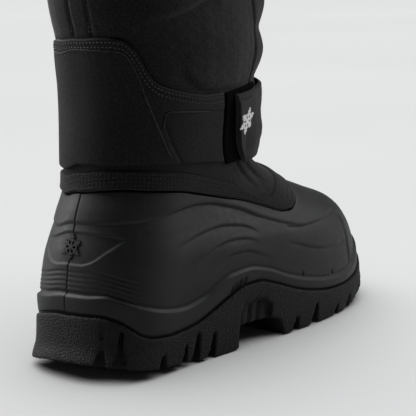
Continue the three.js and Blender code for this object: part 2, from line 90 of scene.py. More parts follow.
# Level outlines of the form: height, heel, toe, heel run, toe run, half widths at the heel (outer,
# inner) and at the ball (outer, inner), roundness of the heel and of the toe, and toe-in.
SECTION_ROWS: tuple[Row, ...] = (
    (0, -5, 313, 50, 96, 48.5, 47.5, 60, 56, 2.6, 2.3, 5),
    (12, -5, 316, 51, 98, 49.5, 48.5, 61.5, 57, 2.6, 2.3, 5),
    (24, -1, 316, 52, 99, 49.5, 48.5, 62, 57, 2.6, 2.3, 5),
    (40, 0, 312, 52, 99, 49.5, 48.5, 61.5, 56.5, 2.6, 2.3, 5),
    (60, 1, 303, 53, 99, 51, 50, 61, 56, 2.5, 2.3, 5),
    (75, 3, 290, 54, 97, 51, 50, 59, 55, 2.4, 2.3, 4),
    (85, 5, 275, 54, 95, 50, 49, 55, 51, 2.4, 2.3, 2),
    (95, 8, 248, 54, 90, 48, 47, 51, 48, 2.4, 2.2, 0),
    (110, 12, 211, 54, 85, 46, 45, 47, 45, 2.3, 2.1, -1),
    (130, 18.5, 185, 60, 90, 46, 44.5, 46, 44.5, 2.3, 2.1, 0),
    (150, 19, 176, 65, 90, 48.5, 46, 48.5, 46, 2.3, 2.1, 0),
    (180, 20, 181, 70, 90, 52, 48.5, 52, 48.5, 2.3, 2.1, 0),
    (220, 17.5, 185, 75, 92, 54.5, 50.5, 54.5, 50.5, 2.3, 2.1, 0),
    (260, 8.5, 185, 80, 97, 57, 55.5, 57, 55.5, 2.3, 2.1, 0),
    (300, -1, 184, 85, 100, 60, 60, 60, 60, 2.3, 2.1, 0),
)

# The toe-in starts at this place along the boot and grows as the square of the way on.
TOE_IN_START = 120.0
TOE_IN_REACH = 190.0

# The inner side of the heel sits lower than the outer: how much, and where it fades along and up.
HEEL_DROP = 6.5
DROP_START = 0.09
DROP_FADE = (0.2, 0.42)
DROP_HEIGHTS = (8.0, 170.0, 280.0)

# The height at which the seat's outline is read.
SEAT_PROBE = 20.0

# Lines round the form as rows of station and height. The band's rows hold its width, and the
# footbed's start with a place along the boot.
EDGE_ROWS = ((0, 12.5), (0.07, 13.5), (0.1, 12), (0.14, 9.5), (0.19, 6), (0.25, 4), (0.3, 2.2), (0.36, 0.8),
             (0.7, 0.8), (0.78, 1.8), (0.83, 4), (0.9, 7.5), (1, 11.5))
PARTING_ROWS = ((0, 43.5), (0.07, 45), (0.1, 42.5), (0.125, 36.5), (0.145, 31), (0.17, 28), (0.22, 26.5),
                (0.27, 28), (0.33, 35), (0.37, 41), (0.41, 46), (0.45, 46.5), (0.5, 41), (0.55, 33.5),
                (0.6, 28), (0.67, 23.5), (0.73, 22.5), (0.8, 25), (0.86, 33), (0.92, 38), (1, 40))
FOXING_ROWS = ((0, 57), (0.05, 58), (0.08, 59), (0.1, 57.5), (0.15, 50.5), (0.2, 45), (0.25, 42.5),
               (0.3, 45.5), (0.34, 51.5), (0.38, 56.5), (0.43, 58), (0.48, 54), (0.54, 44.5), (0.6, 37.5),
               (0.67, 32.5), (0.73, 31.5), (0.79, 36), (0.86, 46), (0.92, 51), (1, 53))
SHELL_TOP_ROWS = ((0, 122), (0.07, 124.5), (0.14, 125.5), (0.22, 124), (0.33, 121), (0.41, 116.5),
                  (0.49, 111), (0.56, 105.5), (0.6, 98.5), (0.63, 91.5), (0.66, 90.5), (0.7, 92.5),
                  (0.75, 96), (0.8, 99.5), (0.87, 104), (1, 110))
BAND_WIDTH_ROWS = ((0, 12), (0.45, 12.5), (0.58, 11.5), (0.66, 11), (0.8, 8.5), (1, 7))
PANEL_TOP_ROWS = ((0, 223.5), (0.1, 225), (0.14, 224), (0.165, 220), (0.185, 213), (0.21, 202),
                  (0.235, 195.5), (0.27, 192), (0.32, 189), (0.37, 186.5), (0.43, 185), (0.5, 185),
                  (0.56, 186), (0.72, 188.5))
PANEL_BOTTOM_ROWS = ((0, 141), (0.14, 142.5), (0.33, 140), (0.57, 133.5))
STRAP_TOP_ROWS = ((0.5, 182), (0.6, 182.5), (0.75, 184), (1, 187))
STRAP_BOTTOM_ROWS = ((0.5, 131), (0.66, 131.5), (0.72, 136), (0.8, 143), (1, 147.5))
FOOTBED_ROWS = ((0, 18), (88, 18), (118, 21), (150, 21), (190, 13.5), (245, 13), (285, 17), (315, 22))

# Clearances between pieces and the layers' places off the form.
GAP = 0.3
FIT_GAP = 0.5
JOINT_GAP = 0.9
LAYER_GAP = 0.7
TUCK = 5.0
TUCK_SHARE = 0.6

# The collar's height, the binding's height below it and the thickness of the shaft.
COLLAR_HEIGHT = 290.0
BINDING_HEIGHT = 7.0
SHAFT_WALL = 6.0


class Side(Enum):
    """The boot's two sides, as the sign of Y."""

    OUTER = -1
    INNER = 1


class Line:
    """A monotone cubic curve through rows of a place and its values."""

    def __init__(self, rows: Sequence[Row]) -> None:
        """Works out the slopes at the rows.

        Args:
            rows: the place, rising from row to row, and one or more values.
        """
        table = np.array(rows, float)
        self.places = table[:, 0]
        self.values = table[:, 1:]
        secants = np.diff(self.values, axis=0) / np.diff(self.places)[:, None]
        product = secants[:-1] * secants[1:]
        total = np.where(product > 0, secants[:-1] + secants[1:], 1.0)
        inner = np.where(product > 0, 2 * product / total, 0.0)
        self.slopes = np.concatenate([secants[:1], inner, secants[-1:]])

    def __call__(self, at: Array | float) -> Array:
        """Reads the curve.

        Args:
            at: the places, held within the first and the last row.

        Returns:
            One value for each place, or a row of values where the rows have several.
        """
        place = np.clip(np.asarray(at, float), self.places[0], self.places[-1])
        i = np.clip(np.searchsorted(self.places, place, side="right") - 1, 0, len(self.places) - 2)
        span = (self.places[i + 1] - self.places[i])[..., None]
        t = (place - self.places[i])[..., None] / span
        rest = 1 - t
        ends = self.values[i] * rest**2 * (1 + 2 * t) + self.values[i + 1] * t**2 * (3 - 2 * t)
        bends = span * t * rest * (self.slopes[i] * rest - self.slopes[i + 1] * t)
        result = ends + bends
        return result[..., 0] if self.values.shape[1] == 1 else result


edge_line = Line(EDGE_ROWS)
parting_line = Line(PARTING_ROWS)
foxing_line = Line(FOXING_ROWS)
shell_top_line = Line(SHELL_TOP_ROWS)
band_width_line = Line(BAND_WIDTH_ROWS)
panel_top_line = Line(PANEL_TOP_ROWS)
panel_bottom_line = Line(PANEL_BOTTOM_ROWS)
strap_top_line = Line(STRAP_TOP_ROWS)
strap_bottom_line = Line(STRAP_BOTTOM_ROWS)
footbed_line = Line(FOOTBED_ROWS)


def station_of(around: Array | float) -> Array:
    """Gives the share of the way from the back to the toe, on either side."""
    turn = np.mod(around, 2.0)
    return np.where(turn <= 1, turn, 2 - turn)


def ease(share: Array) -> Array:
    """Eases a share between 0 and 1, held at both ends."""
    held = np.clip(share, 0.0, 1.0)
    return held * held * (3 - 2 * held)


def run_along(points: Array) -> Array:
    """Gives the distances along a row of points, from its first one."""
    return np.concatenate([[0.0], np.cumsum(np.linalg.norm(np.diff(points, axis=0), axis=1))])


@dataclass
class Form:
    """The foot and leg form that every layer of the boot is laid on.

    Each level outline is a rounded heel quarter, an eased side and a rounded toe quarter.
    """

    rows: tuple[Row, ...] = SECTION_ROWS
    height_step: float = 0.5
    stations: int = 721
    arc_samples: int = 96
    probe_around: float = 0.008
    probe_height: float = 0.8
    outlines: Array = field(init=False)

    def __post_init__(self) -> None:
        """Tabulates the outlines of both sides."""
        heights = np.arange(0.0, self.rows[-1][0] + self.height_step, self.height_step)
        sizes = Line(self.rows)(heights)
        self.outlines = np.stack([self.half_outlines(sizes, side) for side in Side], axis=1)

    def half_outlines(self, sizes: Array, side: Side) -> Array:
        """Draws one side's outlines, evenly spaced along their length.

        Args:
            sizes: one row of section sizes for each height.
            side: the side to draw.

        Returns:
            Points as (heights, stations, 2).
        """
        heel, toe, heel_run, toe_run, heel_out, heel_in, ball_out, ball_in, heel_power, toe_power, toe_in = (
            column[:, None] for column in sizes.T)
        heel_width, ball_width = (heel_out, ball_out) if side is Side.OUTER else (heel_in, ball_in)
        share = np.linspace(0, 1, self.arc_samples)[None, :]
        angle = share * math.pi / 2
        start, end = heel + heel_run, toe - toe_run
        along = np.concatenate([
            start - heel_run * np.cos(angle).clip(0) ** (2 / heel_power),
            (start + (end - start) * share)[:, 1:],
            (end + toe_run * np.sin(angle) ** (2 / toe_power))[:, 1:],
        ], axis=1)
        across = np.concatenate([
            heel_width * np.sin(angle) ** (2 / heel_power),
            (heel_width + (ball_width - heel_width) * ease(share))[:, 1:],
            (ball_width * np.cos(angle).clip(0) ** (2 / toe_power))[:, 1:],
        ], axis=1)
        swing = toe_in * ((along - TOE_IN_START).clip(0) / TOE_IN_REACH) ** 2
        across = side.value * across + swing
        steps = np.hypot(np.diff(along, axis=1), np.diff(across, axis=1))
        result = []
        for x, y, step in zip(along, across, steps):
            length = np.concatenate([[0.0], np.cumsum(step)])
            even = np.linspace(0, length[-1], self.stations)
            result.append(np.stack([np.interp(even, length, x), np.interp(even, length, y)], axis=-1))
        return np.array(result)

    def point(self, around: Array | float, height: Array | float) -> Array:
        """Gives points on the form.

        Args:
            around: the ways round.
            height: the heights.

        Returns:
            Points as (..., 3).
        """
        around, height = np.broadcast_arrays(np.asarray(around, float), np.asarray(height, float))
        turn = np.mod(around, 2.0)
        side = (turn > 1).astype(int)
        column = station_of(turn) * (self.stations - 1)
        row = np.clip(height / self.height_step, 0, len(self.outlines) - 1.001)
        i, j = row.astype(int), np.minimum(column.astype(int), self.stations - 2)
        up, on = (row - i)[..., None], (column - j)[..., None]
        low = self.outlines[i, side, j] * (1 - on) + self.outlines[i, side, j + 1] * on
        high = self.outlines[i + 1, side, j] * (1 - on) + self.outlines[i + 1, side, j + 1] * on
        level = low * (1 - up) + high * up
        return np.concatenate([level, (height - self.drop(turn, height))[..., None]], axis=-1)

    def drop(self, turn: Array, height: Array) -> Array:
        """Gives how far the inner side of the heel is lowered.

        Args:
            turn: the ways round, between 0 and 2.
            height: the heights.

        Returns:
            Distances down.
        """
        station = station_of(turn)
        start, end = DROP_FADE
        low, top, gone = DROP_HEIGHTS
        along = ease(station / DROP_START) * (1 - ease((station - start) / (end - start))) * (turn > 1)
        return HEEL_DROP * along * ease(height / low) * (1 - ease((height - top) / (gone - top)))

    def normal(self, around: Array | float, height: Array | float) -> Array:
        """Gives the outward directions at points on the form.

        Args:
            around: the ways round.
            height: the heights.

        Returns:
            Unit vectors as (..., 3).
        """
        step, rise = self.probe_around, self.probe_height
        across = self.point(around + step, height) - self.point(around - step, height)
        up = self.point(around, height + rise) - self.point(around, height - rise)
        facing = np.cross(across, up)
        return facing / np.linalg.norm(facing, axis=-1, keepdims=True)

    def layer(self, around: Array, height: Array, offset: Array | float, level: Array | float = 0.0) -> Array:
        """Gives points off the form.

        Args:
            around: the ways round.
            height: the heights on the form.
            offset: the distances off it, outwards.
            level: 0 where the offset follows the surface, 1 where it keeps the height.

        Returns:
            Points as (..., 3).
        """
        facing = self.normal(around, height)
        facing[..., 2] *= 1 - np.asarray(level)
        facing /= np.linalg.norm(facing, axis=-1, keepdims=True)
        return self.point(around, height) + facing * np.asarray(offset)[..., None]


FORM = Form()


# ---- Relief: creases, puffs and ripples on a surface ----
@dataclass
class Skin:
    """A piece's grid of places on the form, to which its relief is added."""

    around: Array
    height: Array
    true: Array = field(init=False)
    folded: Array = field(init=False)

    def __post_init__(self) -> None:
        """Finds the places on the form, and the same with both sides folded onto the outer one."""
        self.true = FORM.point(self.around, self.height).reshape(-1, 3)
        self.folded = FORM.point(station_of(self.around), self.height).reshape(-1, 3)


@dataclass(frozen=True)
class Crease:
    """A soft line in a surface: a trough with, if wanted, a bulge above it and a slow rise below.

    The path has rows of way round, height and strength. A negative depth makes a ridge. A mirrored
    crease runs along both sides of the boot.
    """

    path: tuple[Row, ...]
    depth: float
    width: float
    bulge: float = 0.0
    recover: float = 0.0
    mirrored: bool = True
    spacing: float = 5.0
    bulge_reach: float = 2.2

    def line(self) -> tuple[Array, Array]:
        """Samples the path.

        Returns:
            The points on the form, and the strengths there.
        """
        rows = np.array(self.path, float)
        knots = FORM.point(rows[:, 0], rows[:, 1])
        run = run_along(knots)
        count = max(3, int(run[-1] / self.spacing) + 2)
        spots = Line(tuple(zip(run, *rows.T)))(np.linspace(0, run[-1], count))
        return FORM.point(spots[:, 0], spots[:, 1]), spots[:, 2]

    def relief(self, skin: Skin) -> Array:
        """Works out how far the crease moves each place, outwards.

        Args:
            skin: the places.

        Returns:
            Distances in the shape of the skin's grid.
        """
        line, strengths = self.line()
        places = skin.folded if self.mirrored else skin.true
        reach = 4 * max(self.width, self.recover, self.bulge_reach * self.width if self.bulge else 0)
        near = np.all((places > line.min(axis=0) - reach) & (places < line.max(axis=0) + reach), axis=1)
        spots = places[near]
        best = np.full(len(spots), np.inf)
        rise = np.zeros(len(spots))
        strength = np.zeros(len(spots))
        for start, end, first, second in zip(line[:-1], line[1:], strengths[:-1], strengths[1:]):
            step = end - start
            t = np.clip((spots - start) @ step / max(step @ step, 1e-9), 0, 1)
            gap = spots - start - t[:, None] * step
            distance = np.linalg.norm(gap, axis=1)
            closer = distance < best
            best[closer] = distance[closer]
            rise[closer] = gap[closer, 2]
            strength[closer] = (first + (second - first) * t)[closer]
        above = best / (self.bulge_reach * self.width)
        trough = -self.depth * np.exp(-((best / self.width) ** 2))
        high = trough + self.bulge * above * np.exp(1 - above)
        low = -self.depth * np.exp(-best / self.recover) if self.recover else trough
        result = np.zeros(len(places))
        result[near] = np.where(rise >= 0, high, low) * strength
        return result.reshape(skin.around.shape)


@dataclass(frozen=True)
class Puff:
    """A soft swelling, or a dent where its lift is negative."""

    around: float
    height: float
    along: float
    up: float
    lift: float
    mirrored: bool = False

    def relief(self, skin: Skin) -> Array:
        """Works out how far the puff moves each place, outwards.

        Args:
            skin: the places.

        Returns:
            Distances in the shape of the skin's grid.
        """
        centre = FORM.point(self.around, self.height)
        places = skin.folded if self.mirrored else skin.true
        gap = places - centre
        share = (np.hypot(gap[:, 0], gap[:, 1]) / self.along) ** 2 + (gap[:, 2] / self.up) ** 2
        return (self.lift * np.exp(-share)).reshape(skin.around.shape)


@dataclass(frozen=True)
class Ripple:
    """Fine unevenness of sewn cloth, as crossing waves."""

    lift: float
    length: float

    def relief(self, skin: Skin) -> Array:
        """Works out how far the ripple moves each place, outwards.

        Args:
            skin: the places.

        Returns:
            Distances in the shape of the skin's grid.
        """
        x, y, z = (skin.true / self.length * math.tau).T
        waves = (np.sin(x * 0.9 + z * 0.6 + 1.3) * np.sin(y * 1.1 - z * 0.5 + 0.4)
                 + 0.6 * np.sin(x * 1.9 - z * 1.3 + 2.1) * np.sin(y * 1.7 + z * 1.6)
                 + 0.4 * np.sin(z * 2.7 + x * 0.7 - y * 2.2))
        return (self.lift * waves).reshape(skin.around.shape)


Relief = Crease | Puff | Ripple


def total_relief(reliefs: Iterable[Relief], around: Array, height: Array) -> Array:
    """Adds up reliefs over a grid of places."""
    skin = Skin(around, height)
    return sum((relief.relief(skin) for relief in reliefs), np.zeros(around.shape))


# ---- Meshes ----
# Edges sharper than this many degrees stay crisp: on laid pieces, and on pieces smooth all over.
LAID_SHARP = 60.0
ALL_SMOOTH = 180.0

# Corners nearer than this, in metres, become one, and faces thinner than this are dropped.
WELD = 2e-6
SLIVER = 1e-6


def to_object(name: str, shape: bmesh.types.BMesh, sharp_angle: float = 42.0) -> bpy.types.Object:
    """Turns a finished bmesh into a smooth object in the scene.

    Args:
        name: the piece's name.
        shape: the bmesh, in metres in the frame. It is freed.
        sharp_angle: edges sharper than this many degrees stay crisp.

    Returns:
        The object.
    """
    for face in shape.faces:
        face.smooth = True
    mesh = bpy.data.meshes.new(name)
    shape.to_mesh(mesh)
    shape.free()
    mesh.set_sharp_from_angle(angle=math.radians(sharp_angle))
    piece = bpy.data.objects.new(name, mesh)
    bpy.context.scene.collection.objects.link(piece)
    return piece


def in_frame(points: Array) -> Array:
    """Moves points from the drawing, in millimetres, to the frame, in metres."""
    return (points + SHIFT) * MM


def grid_shape(points: Array) -> bmesh.types.BMesh:
    """Lays a grid of quads through rows of points and closes it where its edges meet.

    The UV map is measured along one row and one column that lie clear of the grid's ends.

    Args:
        points: (rows, columns, 3) on the drawing.

    Returns:
        A bmesh in the frame, with a UV map in metres along the rows and the columns.
    """
    rows, columns = points.shape[:2]
    shape = bmesh.new()
    layer = shape.loops.layers.uv.new("UVMap")
    bmesh.ops.create_grid(shape, x_segments=columns - 1, y_segments=rows - 1, size=1.0, calc_uvs=True)
    flat = np.array([vert.co.xy for vert in shape.verts]) * 0.5 + 0.5
    column = np.rint(flat[:, 0] * (columns - 1)).astype(int)
    row = np.rint(flat[:, 1] * (rows - 1)).astype(int)
    cloth_u = run_along(points[rows // 3])[column] * MM
    cloth_v = run_along(points[:, columns // 5])[row] * MM
    for vert, place in zip(shape.verts, in_frame(points[row, column])):
        vert.co = place
    shape.verts.index_update()
    for face in shape.faces:
        for loop in face.loops:
            index = loop.vert.index
            loop[layer].uv = (cloth_u[index], cloth_v[index])
    bmesh.ops.remove_doubles(shape, verts=shape.verts[:], dist=WELD)
    bmesh.ops.dissolve_degenerate(shape, edges=shape.edges[:], dist=SLIVER)
    bmesh.ops.recalc_face_normals(shape, faces=shape.faces[:])
    return shape


def ramp(start: Array | float, end: Array | float, divisions: int, first: bool = False) -> list[Array]:
    """Lists the steps from start to end, without start unless first is set."""
    begin = 0 if first else 1
    return [start + (end - start) * (i / divisions) for i in range(begin, divisions + 1)]


def ring_around(columns: int, fine: int = 8, fine_reach: float = 0.008) -> Array:
    """Spaces columns round the whole form, closer together at the back's moulding seam.

    Args:
        columns: how many columns.
        fine: how many of them are close together on each side.
        fine_reach: how far round these reach.

    Returns:
        The ways round.
    """
    inner = np.linspace(fine_reach, 2 - fine_reach, columns - 2 * fine + 1)
    near = np.linspace(0, fine_reach, fine + 1)[:-1]
    return np.concatenate([near, inner, (2 - near)[::-1]])


@dataclass(frozen=True)
class Patch:
    """A layer of even thickness laid over a part of the form, with rounded edges.

    Its ends may lean forward towards the bottom by a share of the way round.
    """

    start: float
    end: float
    columns: int
    rows: int
    thickness: float
    edge: float
    edge_steps: int = 4
    crown_power: float = 0.7

    def shares(self, count: int, length: float) -> Array:
        """Spaces shares along a length, with the edge's own steps at both ends.

        Args:
            count: how many steps.
            length: the length in millimetres.

        Returns:
            Shares that rise from 0 to 1.
        """
        turn = np.linspace(0, math.pi / 2, self.edge_steps + 1)
        near = (1 - np.cos(turn)) * self.edge / length
        middle = np.linspace(near[-1], 1 - near[-1], count - 2 * self.edge_steps + 1)
        return np.concatenate([near[:-1], middle, (1 - near[:-1])[::-1]])

    def round_off(self, distance: Array) -> Array:
        """Gives the share of the thickness at a distance from the edge."""
        return np.sqrt(1 - (1 - np.clip(distance / self.edge, 0, 1)) ** 2)

    def lay(self, bottom: Line, top: Line, inside: float, lean_start: float, lean_end: float,
            reliefs: Sequence[Relief] = (), crown: float = 0.0,
            stands: Sequence[Relief] = ()) -> bmesh.types.BMesh:
        """Builds the layer.

        Args:
            bottom: height of the lower edge against station.
            top: height of the upper edge against station.
            inside: distance of its back off the form.
            lean_start: lean of the start, towards the bottom.
            lean_end: lean of the end, towards the bottom.
            reliefs: what is pressed into its face.
            crown: how much thicker it is along its middle.
            stands: where the whole layer stands off the form or is drawn to it.

        Returns:
            A closed bmesh in the frame.
        """
        ends = np.array([self.start, self.end])
        middle = float(ends.mean())
        low, high = float(bottom(station_of(middle))), float(top(station_of(middle)))
        mid_line = FORM.point(np.linspace(*ends, 60), (low + high) / 2)
        length = float(run_along(mid_line)[-1])
        progress = self.shares(self.columns, length)
        rise = self.shares(self.rows, high - low)
        around = self.start + (self.end - self.start) * progress
        low_edge, high_edge = bottom(station_of(around)), top(station_of(around))
        height = low_edge[None, :] + (high_edge - low_edge)[None, :] * rise[:, None]
        lean = lean_start + (lean_end - lean_start) * progress
        turned = around[None, :] + lean[None, :] * (1 - rise[:, None])
        ends_gap = np.minimum(progress, 1 - progress)[None, :] * length
        edges_gap = np.minimum(rise, 1 - rise)[:, None] * (high_edge - low_edge)[None, :]
        body = self.round_off(ends_gap) * self.round_off(edges_gap)
        crowned = crown * np.sin(math.pi * rise)[:, None] ** self.crown_power
        relief = total_relief(reliefs, turned, height)
        stand = inside + total_relief(stands, turned, height)
        front = FORM.layer(turned, height, stand + body * (self.thickness + crowned + relief))
        back = FORM.layer(turned, height, stand)
        return grid_shape(np.concatenate([front, back[::-1][1:]], axis=0))


def read_along(run: Array, values: Array, where: Array) -> Array:
    """Reads rows of values at distances along a run."""
    return np.stack([np.interp(where, run, column) for column in values.T], axis=-1)


@dataclass(frozen=True)
class Seam:
    """A row of stitches along a path of ways round and heights, at an offset from the form.

    A trim's stitch field holds the pitch, the length and the width of its stitches.
    """

    around: Array
    height: Array
    offset: float
    pitch: float = 3.2
    length: float = 2.1
    width: float = 0.8
    flatness: float = 0.4

    def sew(self, shape: bmesh.types.BMesh) -> None:
        """Adds the stitches to a bmesh.

        Args:
            shape: the bmesh.
        """
        path = FORM.layer(self.around, self.height, np.full(len(self.around), self.offset))
        facing = FORM.normal(self.around, self.height)
        run = run_along(path)
        spots = np.arange(self.pitch / 2, run[-1], self.pitch)
        reach = self.length / 2
        centres = in_frame(read_along(run, path, spots))
        ahead = read_along(run, path, np.minimum(spots + reach, run[-1]))
        behind = read_along(run, path, np.maximum(spots - reach, 0))
        for centre, head, out in zip(centres, ahead - behind, read_along(run, facing, spots)):
            forward = Vector(head).normalized()
            side = Vector(out).cross(forward).normalized()
            upward = forward.cross(side)
            turn = Matrix((forward, side, upward)).transposed().to_4x4()
            size = Matrix.Diagonal((reach * MM, self.width / 2 * MM, self.width * self.flatness * MM, 1))
            bmesh.ops.create_icosphere(
                shape, subdivisions=1, radius=1.0, matrix=Matrix.Translation(centre) @ turn @ size)


def sewn(name: str, seams: Iterable[Seam]) -> bpy.types.Object:
    """Makes one object of several rows of stitches.

    Args:
        name: the piece's name.
        seams: the rows.

    Returns:
        The piece.
    """
    shape = bmesh.new()
    for seam in seams:
        seam.sew(shape)
    return to_object(name, shape, ALL_SMOOTH)


@dataclass(frozen=True)
class Welt:
    """A thin raised line pressed into a surface, along rows of way round and height."""

    path: tuple[Row, ...]
    offset: float
    width: float = 0.9
    spacing: float = 2.0
    sides: int = 8

    def points(self) -> Array:
        """Sweeps a small round section along the path, closed at both ends.

        Returns:
            A grid as (along, round the section, 3).
        """
        rows = np.array(self.path, float)
        knots = FORM.point(rows[:, 0], rows[:, 1])
        run = run_along(knots)
        places = Line(tuple(zip(run, *rows.T)))(np.linspace(0, run[-1], int(run[-1] / self.spacing)))
        spine = FORM.layer(places[:, 0], places[:, 1], np.full(len(places), self.offset))
        facing = FORM.normal(places[:, 0], places[:, 1])
        ahead = np.gradient(spine, axis=0)
        side = np.cross(facing, ahead)
        side /= np.linalg.norm(side, axis=1, keepdims=True)
        girth = np.full(len(places), self.width / 2)
        girth[[0, -1]] = 0
        turn = np.linspace(0, math.tau, self.sides + 1)
        ring = side[:, None] * np.cos(turn)[None, :, None] + facing[:, None] * np.sin(turn)[None, :, None]
        return spine[:, None] + ring * girth[:, None, None]


def welted(name: str, welts: Iterable[Welt]) -> bpy.types.Object:
    """Makes one object of several welts.

    Args:
        name: the piece's name.
        welts: the welts.

    Returns:
        The piece.
    """
    shape = bmesh.new()
    for welt in welts:
        part = grid_shape(welt.points())
        mesh = bpy.data.meshes.new(name)
        part.to_mesh(mesh)
        part.free()
        shape.from_mesh(mesh)
        bpy.data.meshes.remove(mesh)
    return to_object(name, shape, ALL_SMOOTH)


# ---- Finishes ----
class Recipe:
    """A material in the making: a principled shader and the nodes that feed it."""

    def __init__(self, name: str, colour: Colour, roughness: float) -> None:
        """Starts the material.

        Args:
            name: the material's name.
            colour: its main colour.
            roughness: its main roughness.
        """
        self.material = bpy.data.materials.new(name)
        self.material.use_nodes = True
        self.tree = self.material.node_tree
        self.shader = self.tree.nodes["Principled BSDF"]
        self.shader.inputs["Base Color"].default_value = (*colour, 1.0)
        self.shader.inputs["Roughness"].default_value = roughness

    def add(self, kind: str, links: dict[str, bpy.types.NodeSocket] | None = None,
            **values: float | Row) -> bpy.types.Node:
        """Adds a node.

        Args:
            kind: the node's type name after ShaderNode.
            links: the sockets that feed its inputs, by input name.
            **values: its inputs' values, by name with spaces as underscores.

        Returns:
            The node.
        """
        node = self.tree.nodes.new("ShaderNode" + kind)
        for name, value in values.items():
            node.inputs[name.replace("_", " ")].default_value = value
        for name, socket in (links or {}).items():
            self.tree.links.new(socket, node.inputs[name])
        return node

    def place(self, by_cloth: bool = False) -> bpy.types.NodeSocket:
        """Gives the coordinates: the object's own, or the cloth's."""
        return self.add("TexCoord").outputs["UV" if by_cloth else "Object"]

    def noise(self, place: bpy.types.NodeSocket, size: float, detail: float = 3.0) -> bpy.types.NodeSocket:
        """Adds noise whose lumps are size millimetres across."""
        return self.add("TexNoise", {"Vector": place}, Scale=1 / (size * MM), Detail=detail).outputs["Fac"]

    def spread(self, source: bpy.types.NodeSocket, low: float, high: float, start: float = 0.3,
               stop: float = 0.7) -> bpy.types.NodeSocket:
        """Maps a value between start and stop to low and high."""
        node = self.add("MapRange", {"Value": source}, From_Min=start, From_Max=stop, To_Min=low, To_Max=high)
        return node.outputs["Result"]

    def tint(self, share: bpy.types.NodeSocket, first: Colour, second: Colour) -> None:
        """Feeds the shader's colour from first to second by a share.

        Args:
            share: the socket that mixes them.
            first: the colour at 0.
            second: the colour at 1.
        """
        node = self.tree.nodes.new("ShaderNodeMix")
        node.data_type = "RGBA"
        node.inputs[6].default_value = (*first, 1.0)
        node.inputs[7].default_value = (*second, 1.0)
        self.tree.links.new(share, node.inputs[0])
        self.tree.links.new(node.outputs[2], self.shader.inputs["Base Color"])

    def combine(self, kind: str, first: bpy.types.NodeSocket,
                second: bpy.types.NodeSocket | float) -> bpy.types.NodeSocket:
        """Adds a Math node of a kind over two values.

        Args:
            kind: the node's operation.
            first: the first value.
            second: the second, a socket or a number.

        Returns:
            The result.
        """
        node = self.tree.nodes.new("ShaderNodeMath")
        node.operation = kind
        self.tree.links.new(first, node.inputs[0])
        if isinstance(second, (int, float)):
            node.inputs[1].default_value = second
        else:
            self.tree.links.new(second, node.inputs[1])
        return node.outputs[0]

    def bump(self, height: bpy.types.NodeSocket, relief: float,
             over: bpy.types.NodeSocket | None = None) -> bpy.types.NodeSocket:
        """Adds a bump of relief millimetres, over another bump if given.

        Args:
            height: the height map, from 0 to 1.
            relief: the height of 1.
            over: the bump below it.

        Returns:
            The bent normal.
        """
        links = {"Height": height}
        if over is not None:
            links["Normal"] = over
        return self.add("Bump", links, Strength=1.0, Distance=relief * MM).outputs["Normal"]

    def feed(self, name: str, source: bpy.types.NodeSocket) -> None:
        """Links a socket to one of the shader's inputs."""
        self.tree.links.new(source, self.shader.inputs[name])


def scaled(colour: Colour, share: float) -> Colour:
    """Makes a colour lighter or darker by a share."""
    return tuple(channel * share for channel in colour)


@dataclass(frozen=True)
class RubberFinish:
    """Moulded rubber: fine grain, cloudy bloom and faint scuffs."""

    name: str
    colour: Colour
    roughness: float
    grain: float
    relief: float
    bloom: float = 1.5
    pebble: float = 0.0
    pebble_relief: float = 0.0
    specular: float = 0.16
    cloud_size: float = 38.0
    dust_size: float = 3.0
    shade: float = 0.85

    def mix(self) -> bpy.types.Material:
        """Builds the material.

        Returns:
            The material.
        """
        recipe = Recipe(self.name, self.colour, self.roughness)
        recipe.shader.inputs["Specular IOR Level"].default_value = self.specular
        place = recipe.place()
        cloud = recipe.noise(place, self.cloud_size, 5.0)
        dust = recipe.noise(place, self.dust_size, 6.0)
        share = recipe.combine("MULTIPLY", recipe.spread(cloud, 0.0, 1.0), recipe.spread(dust, 0.3, 1.0))
        recipe.tint(share, scaled(self.colour, self.shade), scaled(self.colour, self.bloom))
        recipe.feed("Roughness", recipe.spread(dust, self.roughness - 0.06, self.roughness + 0.08))
        normal = recipe.bump(recipe.noise(place, self.grain, 2.0), self.relief)
        if self.pebble:
            lumps = recipe.noise(place, self.pebble, 1.0)
            rough = recipe.spread(lumps, 0.0, 1.0, 0.35, 0.65)
            normal = recipe.bump(rough, self.pebble_relief, normal)
        recipe.feed("Normal", normal)
        return recipe.material


